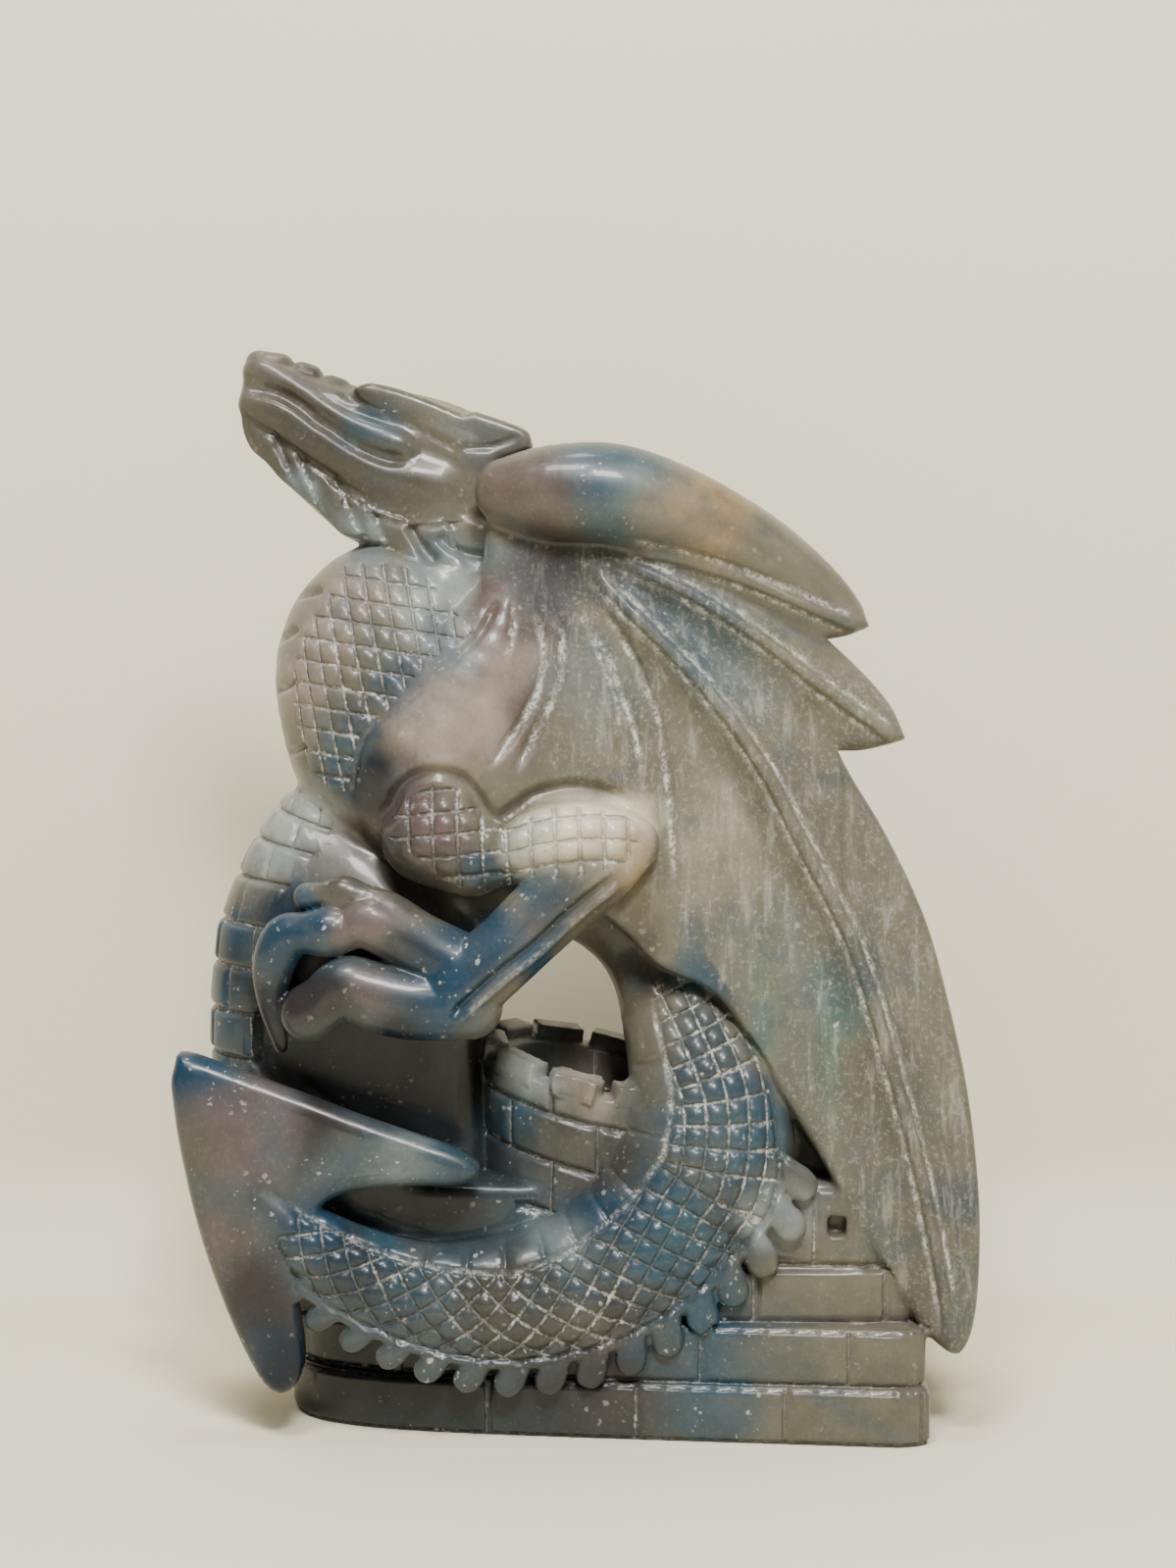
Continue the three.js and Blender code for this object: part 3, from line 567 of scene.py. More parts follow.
# How far the wing's face stands out at each place of the front view, with its ribs and hollows.
def wingFace(x, z):
    v = wingValues
    face = flankFace(z) - 0.0006 * np.maximum(0, x - 30) ** 2
    chip = smoothStep(0, 1.4, x - 47.2 - 0.02 * np.abs(z - 112))
    chip *= smoothStep(93, 99, z) * smoothStep(128, 126, z)
    nearest = np.full(np.broadcast(x, z).shape, 99.0)
    ridge = np.zeros(nearest.shape)
    for rib in ribLines:
        away, along = lineDistance(rib, x, z)
        share = np.interp(along, np.linspace(0, 1, len(rib)), rib[:, 2])
        rise = v["ribHeight"] * share * np.exp(-(away / (v["ribWidth"] * share)) ** 2 * 0.9)
        ridge = np.maximum(ridge, rise * smoothStep(-0.02, 0.1, along))
        nearest = np.minimum(nearest, away)
    hollow = v["hollow"] * smoothStep(1.5, 8, nearest) * smoothStep(-4, 12, x)
    return face + ridge - hollow - v["chipDepth"] * chip


def buildWings():
    v = wingValues
    for side in (1, -1):
        low, high = sorted([-side * 30, -side * 4])
        window = windowOf([-32, low, 8], [78, high, 186])
        x, y, z = openAxes(window)
        edge = frontDistance(wingOutline, x, z)
        face = wingFace(x[:, 0], z[0])[:, None, :].astype(np.float32)
        out = -side * y
        slab = smoothMax(smoothMax(edge, out - face, v["edgeRound"]), v["gap"] / 2 - out, 1.2)
        join(window, slab.astype(np.float32), 1.5)
        limb(wingArm, flatten=0.95, blend=1.5, side=side)
        limb(haunch, flatten=0.78, blend=0.8, side=side)
        edge = frontDistance(haunchOutline, x, z)
        swell = v["haunchSwell"] * smoothStep(-5, -18, x) * smoothStep(158, 140, z)
        flank = smoothMax(edge, out - 16.5 - 11 * (1 - z / 170) - swell, 2.6)
        join(window, smoothMax(flank, 8 - out, 1).astype(np.float32), 0.3)
    window = windowOf([-24, -14, 30], [64, 14, 176])
    x, y, z = openAxes(window)
    edge = frontDistance(webOutline, x, z)
    web = smoothMax(edge, np.abs(y) - v["gap"] / 2 - v["webOverlap"], 1)
    join(window, web.astype(np.float32), 1.5)


# Legs
hip = [[-27.5, -17.5, 110.5, 9], [-25, -18.5, 110.5, 9.6], [-20, -19, 107.5, 8]]
thigh = [
    [-17, -19.5, 106.5, 5.5], [-9, -21.2, 109.2, 6.9], [-1, -21.6, 110.2, 7.2], [6, -21.5, 110, 6.4],
    [9.5, -21, 109.5, 5.0],
]
shin = [
    [9.5, -22, 108.5, 4.5], [3, -22.5, 104, 6.5], [-5.5, -23, 97.5, 7], [-14, -24, 89.5, 6.8],
    [-22, -24, 83, 7.5],
]
toes = [
    [[-22, -22.5, 88, 5.5], [-28.9, -23.5, 92, 5], [-34.5, -24.3, 97, 3.8], [-39.2, -24, 99.4, 2.9],
     [-43, -23.6, 100.3, 3.5], [-46.5, -22.5, 100.1, 2.5], [-49.5, -21, 99.6, 2.8]],
    [[-22, -23.5, 87, 5.5], [-30, -24, 91, 5], [-37.7, -25, 95.2, 4.9], [-41.5, -24.8, 94.2, 3.9],
     [-45.5, -24.8, 93.6, 4.6], [-50, -23.8, 93.3, 3.8], [-53.5, -23, 92.2, 4.3], [-55.8, -22, 87, 3.9],
     [-56.2, -21, 80, 2.6], [-54.8, -19.5, 72, 1.3]],
    [[-20, -23.5, 79.8, 6], [-26, -23.8, 80, 6.4], [-32, -24, 80.6, 6.6], [-38.5, -24.2, 82.2, 6.4],
     [-42.5, -24.6, 83.6, 5.6], [-46.3, -24.2, 80.8, 5.1], [-49.2, -23.8, 78.8, 5.3]],
]


def buildLegs():
    bothSides(hip, flatten=0.85, blend=0.4)
    bothSides(thigh, flatten=0.9, blend=0.5)
    bothSides(shin, flatten=0.7, blend=1.2)
    for toe in toes:
        bothSides(toe, flatten=0.85, blend=0.4)


# Repeated forms: crest leaves along the tail and merlons round the turret's rim
crestValues = {
    "leafCount": 18,
    "leafLength": 8.4,  # mm
    "leafWidth": 6.0,
    "leafThickness": 4.2,
    "lean": 0.7,  # how much a leaf leans along the tail for each share that it stands out
    "start": 0.27, "end": 0.93,  # shares of the tail's length
    "setIn": 0.8,
    "forward": 0.5,
    "rimRadius": 2.0,  # mm, of the rim that the leaves grow from
}


# A tree that sets one pattern on evenly spaced points of a curve.
def instanceTree(name, sizes):
    tree = bpy.data.node_groups.new(name, "GeometryNodeTree")
    for label, kind in [("Geometry", "Geometry"), ("Count", "Int"), *sizes, ("Stone", "Material")]:
        tree.interface.new_socket(label, in_out="INPUT", socket_type="NodeSocket" + kind)
    tree.interface.new_socket("Geometry", in_out="OUTPUT", socket_type="NodeSocketGeometry")
    add, link = nodeTools(tree)
    given = add("NodeGroupInput").outputs
    spaced = add("GeometryNodeResampleCurve", {"Curve": given["Geometry"], "Count": given["Count"]},
                 mode="COUNT")
    along = add("GeometryNodeInputTangent").outputs["Tangent"]

    def turned(mainWay, mainAxis, otherWay, otherAxis):
        first = add("FunctionNodeAlignRotationToVector", {"Vector": mainWay}, axis=mainAxis)
        return add("FunctionNodeAlignRotationToVector", {"Rotation": first.outputs[0], "Vector": otherWay},
                   axis=otherAxis, pivot_axis=mainAxis).outputs[0]

    def finish(pattern, rotation, **more):
        placed = add("GeometryNodeInstanceOnPoints", {
            "Points": spaced.outputs[0], "Instance": pattern, "Rotation": rotation, **more})
        whole = add("GeometryNodeRealizeInstances", {"Geometry": placed.outputs[0]})
        coated = add("GeometryNodeSetMaterial", {"Geometry": whole.outputs[0], "Material": given["Stone"]})
        link(coated.outputs[0], add("NodeGroupOutput").inputs[0])
        return tree

    return add, given, along, turned, finish


# Leaves set on a curve: each points away from the tail, leans along it and is as large as the curve's
# radius says.
def crestTree():
    add, given, along, turned, finish = instanceTree("crestLeaves", [("Lean", "Float"), ("Leaf", "Object")])
    away = add("ShaderNodeVectorMath", {0: along, 1: (0, 1, 0)}, operation="CROSS_PRODUCT")
    leaned = add("ShaderNodeVectorMath", {0: along, "Scale": given["Lean"]}, operation="SCALE")
    way = add("ShaderNodeVectorMath", {0: away.outputs[0], 1: leaned.outputs[0]}, operation="ADD").outputs[0]
    leaf = add("GeometryNodeObjectInfo", {"Object": given["Leaf"]}).outputs["Geometry"]
    size = add("GeometryNodeInputRadius").outputs[0]
    return finish(leaf, turned(way, "Z", (0, 1, 0), "Y"), Scale=size)


def buildCrest():
    v = crestValues
    line = smoothPath(tailStations, 12)
    count = len(line)
    span = line[int(v["start"] * count):int(v["end"] * count)]
    ways = np.gradient(span[:, [0, 2]], axis=0)
    ways /= np.linalg.norm(ways, axis=1, keepdims=True)
    radius = span[:, 3]
    feet = np.stack([span[:, 0] - ways[:, 1] * radius * v["setIn"], span[:, 1] - radius * v["forward"],
                     span[:, 2] + ways[:, 0] * radius * v["setIn"]], axis=1)
    feet[:, 1] = np.clip(feet[:, 1], -26.2, -22.6)
    rim = np.column_stack([feet[::6], np.full(len(feet[::6]), v["rimRadius"])])
    limb(rim, flatten=0.9, blend=0.5, steps=2)
    sizes = np.clip(0.55 + radius / 30, 0.62, 1.05)
    length, wide, deep = v["leafLength"], v["leafWidth"] / 2, v["leafThickness"] / 2
    rings = [(-2, 0.6 * wide, deep), (0.2 * length, 0.8 * wide, deep), (0.5 * length, wide, 0.9 * deep),
             (0.72 * length, 0.98 * wide, 0.75 * deep), (0.88 * length, 0.74 * wide, 0.6 * deep),
             (0.97 * length, 0.4 * wide, 0.35 * deep)]
    leaf = bpy.data.objects.new("leafPattern", leafMesh("leafPattern", rings, 10))
    inputs = {"Count": v["leafCount"], "Lean": v["lean"], "Leaf": leaf, "Stone": stone}
    made, faces = grown(curveObject("crestLine", feet, sizes), crestTree(), inputs)
    joinFaces(made, faces, 0.3)


# Blocks set round a ring, each turned to face its middle and tilted to the rim.
def merlonTree():
    add, given, along, turned, finish = instanceTree("merlons", [
        ("Length", "Float"), ("Thickness", "Float"), ("Height", "Float"), ("Rim", "Vector")])
    size = add("ShaderNodeCombineXYZ", {"X": given["Length"], "Y": given["Thickness"], "Z": given["Height"]})
    block = add("GeometryNodeMeshCube", {
        "Size": size.outputs[0], "Vertices X": 3, "Vertices Y": 3, "Vertices Z": 3})
    return finish(block.outputs[0], turned(given["Rim"], "Z", along, "X"))


def buildMerlons():
    v = turretValues
    turns = np.radians(v["firstMerlon"]) + np.linspace(0, 2 * math.pi, 73)
    shrink = v["wallThickness"] / 2 - 0.4
    x = v["centreX"] + (v["reachX"] - shrink) * np.cos(turns)
    y = (v["reachY"] - shrink) * np.sin(turns)
    ring = np.stack([x, y, rimHeight(x, y) + v["merlonHeight"] / 2 - 0.8], axis=1)
    inputs = {
        "Count": v["merlonCount"] + 1, "Length": v["merlonLength"], "Thickness": v["wallThickness"] - 0.8,
        "Height": v["merlonHeight"] + 1.6, "Rim": (v["fallRight"], -v["riseBack"], 1), "Stone": stone,
    }
    made, faces = grown(curveObject("rimLine", ring, np.ones(len(ring))), merlonTree(), inputs)
    joinFaces(made, faces, 0.5)


stone = bpy.data.materials.new("soapstonePolishedAndSanded")
buildCastle()
buildTower()
buildTurret()
buildMerlons()
castleForm = form.copy()
print("castle formed")
buildTail()
buildCrest()
buildHead()
print("body, tail and head formed")
buildWings()
buildLegs()
print("wings and legs formed")


# The grid's surface as points and faces, with outward normals.
def meshOf(field):
    grid = openvdb.FloatGrid(3.0)
    grid.copyFromArray(np.clip(field, -3, 3))
    points, _, quads = grid.convertToPolygons(0.0, 0.0)
    return points.astype(np.float64) * pitch + gridLow, quads.astype(np.int64)


def normalsOf(points, quads):
    a, b, c, d = (points[quads[:, i]] for i in range(4))
    facing = np.cross(c - a, d - b)
    made = np.empty_like(points)
    for axis in range(3):
        made[:, axis] = sum(
            np.bincount(quads[:, i], weights=facing[:, axis], minlength=len(points)) for i in range(4))
    return made / np.maximum(np.linalg.norm(made, axis=1, keepdims=True), 1e-9)


points, quads = meshOf(form)
print("meshed", len(points), "points")


# Scales and bricks are a grid of cells over the surface: whole numbers of gridU and gridV are grooves.
scaleValues = {
    "neckAcross": 3.9, "neckUp": 4.15,  # mm, size of a scale
    "thighAcross": 4.4, "thighUp": 4.0,
    "tailAcross": 4.05, "tailUp": 4.05,
    "neckRadius": 21.5,
    "thighDepth": 17.0,  # mm from the middle; the thigh's scales lie further out
    "tailStart": 0.1, "tailEnd": 0.94,  # shares of the tail's length
    "tailTurn": 45.0,  # degrees that the scales' grid turns on the way to the fin
    "tailTurnFrom": 0.3, "tailTurnTo": 0.62,
    "beardStep": 0.9,  # mm, from one leaf of the beard to the next
    "grooveWidth": 0.5,  # mm, half the width of a groove
    "grooveDepth": 0.55,
    "across": 4.5,  # mm, of a scale where its groove is cut
    "bulge": 0.8,
    "plateLength": 8.6,  # mm along the tail, of a belly plate
}
neckScales = smoothOutline([
    [-43, 160.5], [-32.2, 159.8], [-28.4, 157.8], [-25.5, 155], [-22.6, 151.3], [-19.4, 147.6, 1],
    [-23.5, 145], [-26.4, 143.1], [-30.3, 139.2], [-35.1, 133.4], [-38.1, 131.4], [-40.4, 128],
    [-41.6, 124.2], [-42.4, 118.5, 1], [-45.4, 118.6, 1], [-48.2, 120.8], [-50.4, 124.2], [-52, 129],
    [-52.9, 133.9], [-53.2, 138.2], [-52.6, 142.1], [-51.6, 146], [-49.9, 149.3], [-47.3, 153.7],
    [-45, 157.5],
], 3)
hipScales = smoothOutline([
    [-35, 110.6, 1], [-33.2, 115.6], [-29.8, 118.6], [-25.6, 120.2], [-21.8, 119.2], [-18.6, 116.2],
    [-16.8, 113.6], [-14, 112.6], [-11.6, 113.2], [-6, 115.9], [-1.2, 116.4], [4.5, 115.8], [9.4, 114.2],
    [10.6, 112.4], [10.4, 109], [8, 106], [3, 104.4], [-3, 103.6], [-9, 103.4], [-13.4, 101.2],
    [-18, 100.4], [-23.6, 102.6], [-29.5, 107.2],
], 3)
tailLine = smoothPath(tailStations, 8)
# Where the scales end on the tail's inner side: shares of its length, and of its radius
tailInnerEdge = [0, 0.2, 0.5, 0.62, 0.72, 1.0], [-0.15, -0.42, -0.55, -0.5, -0.62, -0.75]


# Where a point is on the tail: the share of the way, mm along it, mm out from its middle line, and the
# tail's radius there.
def onTail(x, z):
    line = tailLine[:, [0, 2]]
    steps = np.diff(line, axis=0)
    lengths = np.hypot(*steps.T)
    starts = np.concatenate([[0], np.cumsum(lengths)])
    best = np.full(x.shape, 1e9)
    along = np.zeros(x.shape)
    out = np.zeros(x.shape)
    for i, (start, step) in enumerate(zip(line[:-1], steps)):
        dx, dz = x - start[0], z - start[1]
        t = np.clip((dx * step[0] + dz * step[1]) / lengths[i] ** 2, 0, 1)
        away = (dx - step[0] * t) ** 2 + (dz - step[1] * t) ** 2
        nearer = away < best
        side = np.sign(dz * step[0] - dx * step[1])
        best = np.where(nearer, away, best)
        along = np.where(nearer, starts[i] + t * lengths[i], along)
        out = np.where(nearer, side * np.sqrt(away), out)
    radius = np.interp(along, starts, tailLine[:, 3])
    return along / starts[-1], along, out, radius


brickValues = {
    "brickLength": 24.0,  # mm, in the plinth and gatehouse
    "firstJoint": 14.2,
    "towerBrickLength": 11.0,
    "towerBrickHeight": 8.3,
    "turretBrickLength": 18.0,
    "turretCourseHeight": 9.0,
    "grooveWidth": 0.65,
    "grooveDepth": 1.0,
    "uprightShare": 0.6,  # how deep the upright joints are beside the level ones
}
# Heights of the tower's courses at its left side
towerLines = np.array([18, 27.3, 36, 44.6, 53, 61.2, 69.3, 77.5, 86, 94.3, 102.7, 109.9, 115.2, 121])
# How its courses slope at each height, and how far right its bricks go
towerSlope = [60, 80, 95, 103, 112], [0.12, 0.06, 0.12, 0.16, 0.3]
towerRightEdge = [60, 77, 95, 103, 110, 118], [-59, -59, -58.2, -52, -46.5, -44]


# Where pale dust stays thick in the cut lines: [x, z, reach]
dustedPlaces = [
    [-46, 134, 19], [-6, 109, 19], [30, 66, 18], [-8, 19, 13], [36, 46, 12], [4, 24, 10], [-66, 92, 12],
]
bodyEdge = smoothOutline([
    [-44.5, 161.3], [-52, 153.4], [-56.5, 144.9], [-57, 141], [-56, 132.5], [-53.2, 125.1], [-49, 119.1],
    [-41.1, 111.7], [-31.1, 104.7], [-17.2, 99.1], [10, 95], [20, 120], [0, 165], [-30, 170],
], 3)
# Lines cut into the head and the wings: (line, half its width, depth)
headLines = [
    ([[-64, 194.3], [-61.2, 193.4], [-58.6, 193.0], [-55.6, 192.0], [-52.1, 189.9], [-49, 187.3],
      [-46.3, 185.6], [-43.6, 183.6], [-40.9, 182.0], [-37.9, 180.6], [-35.2, 179.8], [-32.9, 179.6],
      [-31.2, 180.6]], 1.2, 1.4),
    ([[-45.5, 192.6], [-38.8, 189.5], [-34.9, 187.8], [-31.1, 186.0], [-27.2, 183.9], [-24.9, 182.6],
      [-21, 180.6]], 0.6, 0.5),
    ([[-22.3, 181.9], [-17.5, 182.1], [-14, 182.9], [-11, 184.2]], 0.55, 0.6),
    ([[-63, 188.8], [-59.8, 186.0], [-56.7, 183.9], [-52.1, 180.4], [-47.5, 177.6], [-44, 174.7],
      [-40.9, 172.3], [-37.9, 169.8], [-34.8, 168.4], [-32, 167.8], [-27.1, 167.6], [-23.2, 168.4],
      [-19, 170.5]], 0.9, 0.7),
    ([[-57.1, 183.4], [-55.9, 181.1], [-54.6, 178.6]], 0.8, 0.7),
    ([[-52.9, 180.7], [-51.9, 178], [-50.5, 175.4]], 0.8, 0.7),
    ([[-46.3, 177.5], [-45.6, 174.6], [-44.2, 171.2]], 0.85, 0.7),
    ([[-39, 170.7], [-38, 167.6], [-36.2, 164.2]], 0.9, 0.8),
    ([[-32.1, 167.8], [-29.8, 164.2], [-26.4, 160.6]], 0.99, 1.4),
    ([[-26.7, 166.1], [-23.2, 163.4], [-17.2, 161.9]], 0.99, 1.4),
]
beardEdges = [21.0, 25.4, 28.4, 33.6, 37.8, 43.4, 51.0, 60.0]  # x + 0.45 z, where each leaf ends
haunchEdge = [
    [-14.5, 154.5], [-17.7, 148.4], [-20.6, 145], [-23.5, 142.1], [-28.4, 138.2], [-33.7, 133.4],
    [-37.8, 131], [-39.8, 128], [-41.2, 124.2], [-41.9, 120.3], [-42, 116],
]
foldLines = [
    ([[-10.3, 154.6], [-7.9, 150.3], [-6.7, 145.5], [-6.7, 140.7], [-8.4, 135.4], [-11.5, 130.2],
      [-14.6, 125.9], [-18, 122.1]], 0.9, 1.3),
    ([[-12.7, 154.1], [-12, 150.8], [-12.5, 146.4], [-13.7, 141.7]], 0.6, 0.4),
    ([[-6, 153.6], [-3.6, 148.4], [-3.1, 143.6], [-4.1, 137.8], [-7, 131.6], [-10.8, 124.4],
      [-12.9, 120.6]], 0.9, 1.3),
    ([[-1.2, 154.6], [2.1, 148.8], [5, 143.6], [7.9, 135.9], [9.8, 130.2], [11.2, 123.5],
      [11.7, 116.8]], 0.8, 1.1),
    ([[0.2, 156], [5, 150.8], [10.3, 141.7], [14.1, 132.1], [16, 120], [17, 108], [17.6, 95]], 0.8, 1.0),
    ([[-2.2, 155.1], [1.2, 148.8], [5, 139.8], [6.9, 134], [8, 126]], 0.6, 0.4),
]
haloLine = [
    [-35.6, 111.1], [-35.1, 114.9], [-33.2, 118.8], [-29.9, 121.4], [-25.6, 122.2], [-21.7, 121.2],
    [-18.9, 118.4], [-17, 115.5], [-14.6, 114], [-11.7, 115.6], [-8.4, 118], [-3.6, 119.4], [0.7, 119.5],
    [5.5, 118.4], [10.6, 115.6],
]
shinLine = np.array([[7.4, 104.6], [-1, 98.0], [-7.8, 91.7], [-14.6, 86.4], [-19.7, 81.8], [-24, 77.8]])
scuteLines = [
    [[-56.5, 146.4], [-53.0, 148.4]], [[-57.5, 136.6], [-53.6, 138.3]], [[-55.5, 125.0], [-51.6, 126.6]],
    [[-53.5, 154.6], [-48.5, 155.6]],
]
ribShift = [np.array([0.45, 1.5]), np.array([1.0, 1.3]), np.array([1.6, 0.7])]


# The points of a surface, where they lie on the carving, and the marks laid on them so far.
class Skin:
    def __init__(self, points, normals):
        self.x, self.y, self.z = points.T
        self.depth = np.abs(self.y)
        self.out = -normals[:, 1]
        self.upright = np.abs(normals[:, 2]) < 0.7
        self.near = smoothStep(0.05, 0.4, self.out) * (self.y < 0)
        self.eachSide = self.near + smoothStep(0.05, 0.4, -self.out) * (self.y > 0)
        cells = np.clip(np.rint((points - gridLow) / pitch).astype(int), 0, gridCount - 1)
        fromCastle = castleForm[cells[:, 0], cells[:, 1], cells[:, 2]]
        self.onCastle = (fromCastle > -2) & (fromCastle < 0.8)
        self.share, self.along, self.across, self.radius = onTail(self.x, self.z)
        self.place = self.across / self.radius
        self.inner = np.interp(self.share, *tailInnerEdge)
        middle = np.interp(self.share, np.linspace(0, 1, len(tailLine)), tailLine[:, 1])
        face = middle - 0.8 * np.sqrt(np.maximum(self.radius ** 2 - self.across ** 2, 0))
        self.onTail = np.abs(self.y - face) < 2.6
        self.hidden = self.within(finOutline, 0.6) * (self.x + 0.45 * (self.z - 40) < -56)
        count = len(points)
        names = ("scales", "bricks", "sink", "chalk", "matte", "dusted")
        self.marks = {name: np.zeros(count) for name in names}
        self.marks["gridU"] = np.full(count, 0.5)
        self.marks["gridV"] = np.full(count, 0.5)

    # 1 inside an outline of the front view, 0 outside it, with a soft edge.
    def within(self, outline, soft):
        flat = np.asarray(outline, float)[:, :2]
        return smoothStep(soft, -soft, outlineDistance(flat, self.x, self.z))

    # Lays a field of scales or bricks where its mask is stronger than what lies there.
    def lay(self, kind, mask, u, v):
        marks = self.marks
        chosen = mask > np.maximum(marks["scales"], marks["bricks"])
        marks["gridU"] = np.where(chosen, u, marks["gridU"])
        marks["gridV"] = np.where(chosen, v, marks["gridV"])
        for name in ("scales", "bricks"):
            marks[name] = np.where(chosen, mask if name == kind else 0, marks[name])

    # Cuts a line drawn in the front view into what lies under it, on one side or both.
    def engrave(self, line, width, deep, chalk=0.0, sides=(1,), least=5.0, most=40.0, ends=0.12, steps=4):
        x, y, z, marks = self.x, self.y, self.z, self.marks
        drawn = smoothPath(line, steps)
        low, high = drawn.min(0)[:2] - 3 * width, drawn.max(0)[:2] + 3 * width
        for side in sides:
            inside = (x > low[0]) & (x < high[0]) & (z > low[1]) & (z < high[1])
            inside &= (-side * y > least) & (-side * y < most) & (side * self.out > 0.02)
            chosen = np.nonzero(inside)[0]
            if not len(chosen):
                continue
            away, along = lineDistance(drawn, x[chosen], z[chosen])
            faced = smoothStep(0.02, 0.35, side * self.out[chosen])
            fade = smoothStep(0, ends, along) * smoothStep(1, 1 - ends, along) if ends else 1
            mark = np.exp(-(away / width) ** 2) * faced * fade
            marks["sink"][chosen] += deep * mark
            marks["chalk"][chosen] = np.maximum(marks["chalk"][chosen], chalk * mark ** 2)


def layNeckAndThigh(skin):
    x, z = skin.x, skin.z
    v = scaleValues
    neck = skin.within(neckScales, 0.6) * skin.eachSide * (skin.depth > 2)
    turn = np.arcsin(np.clip((x + 35) / v["neckRadius"], -0.98, 0.98)) * v["neckRadius"]
    skin.lay("scales", neck, (turn + 0.2 * (z - 140)) / v["neckAcross"] + 0.3,
             (z + 0.15 * (x + 40)) / v["neckUp"])
    thigh = skin.within(hipScales, 0.5) * skin.eachSide * (skin.depth > v["thighDepth"])
    arch = 0.011 * (x + 2) ** 2 * (x > -14) + 0.9 * (x <= -14)
    skin.lay("scales", thigh, (x + 0.04 * z) / v["thighAcross"],
             (z - 0.1 * x + arch) / v["thighUp"] + 0.35)


# The beard's leaves overlap like shingles, each thinner towards its root.
def cutBeard(skin):
    leaf = np.interp(skin.x + 0.45 * skin.z, beardEdges, np.arange(len(beardEdges)))
    inBeard = skin.within(smoothOutline(beardOutline, 2), 0.4) * skin.eachSide * (skin.depth > 2)
    skin.marks["sink"] += scaleValues["beardStep"] * inBeard * (1 - leaf % 1)


# Along the tail the scales' grid turns from square to diamonds by the fin.
def layTail(skin):
    share, across, radius = skin.share, skin.across, skin.radius
    v = scaleValues
    first, last = v["tailTurnFrom"], v["tailTurnTo"]
    turnNow = np.radians(v["tailTurn"]) * smoothStep(first, last, share)
    arc = np.arcsin(np.clip(across / radius, -0.97, 0.97)) * radius
    ways = np.linspace(0, 1, 200)
    turns = np.radians(v["tailTurn"]) * smoothStep(first, last, ways)
    total = skin.along.max() / max(share.max(), 1e-6)
    run = np.concatenate([[0], np.cumsum(np.cos(turns))])[:-1] * total / 199
    rise = np.concatenate([[0], np.cumsum(np.sin(turns))])[:-1] * total / 199
    acrossGrid = np.interp(share, ways, run) + arc * np.sin(turnNow)
    upGrid = arc * np.cos(turnNow) - np.interp(share, ways, rise)
    mask = smoothStep(skin.inner - 0.03, skin.inner + 0.05, skin.place) * smoothStep(0.82, 0.77, skin.place)
    mask = skin.near * mask * skin.onTail * smoothStep(v["tailStart"] - 0.02, v["tailStart"], share)
    mask *= smoothStep(v["tailEnd"], v["tailEnd"] - 0.01, share)
    skin.lay("scales", mask * (1 - skin.hidden), acrossGrid / v["tailAcross"], upGrid / v["tailUp"] + 0.2)


def layBricks(skin):
    x, y, z = skin.x, skin.y, skin.z
    b = brickValues
    aboveBase = z > plinthTop
    skin.brickwork = skin.onCastle * skin.upright * (1 - (x < -12) * aboveBase) * (z < 46.5)
    rows = np.where((x > 30) * (y < 0), np.minimum(z / courseHeight, 3.5), z / courseHeight)
    skin.lay("bricks", skin.brickwork * 0.99, (x + y + 28 - b["firstJoint"]) / b["brickLength"], rows)

    left = np.interp(z, towerProfile[:, 0], towerProfile[:, 1])
    slope = np.interp(z, *towerSlope)
    level = z + slope * (x - left) * (x < -30)
    course = np.interp(level, towerLines, np.arange(len(towerLines)))
    turn = np.arctan2(y - 2, (x + 44)) * 24
    inTower = skin.onCastle * (x < -17) * aboveBase * (z < castleValues["towerTop"])
    wall = 1 - skin.within(bodyEdge, 0.5)
    limit = np.interp(z, *towerRightEdge)
    inTower = inTower * np.where(y < 0, (x < limit) * wall, (skin.depth < 23) * wall * (x < -10))
    skin.lay("bricks", inTower * 0.99, turn / b["towerBrickLength"] + 0.2, course)

    t = turretValues
    ring = np.sqrt(((x - t["centreX"]) / t["reachX"]) ** 2 + (y / t["reachY"]) ** 2)
    rim = rimHeight(x, y)
    skin.inTurret = skin.onCastle * (np.abs(ring - 1) < 0.06) * (z > 40) * (z < rim - 0.5) * (x > -18)
    around = np.arctan2(y, x - t["centreX"]) * 20 / b["turretBrickLength"]
    level = (rim - 5.5 - z) / b["turretCourseHeight"] + 20
    skin.lay("bricks", skin.inTurret * 1.0, around + 0.73, level)


# Away from the nearest whole number
def cell(value):
    return np.abs(value - np.round(value))


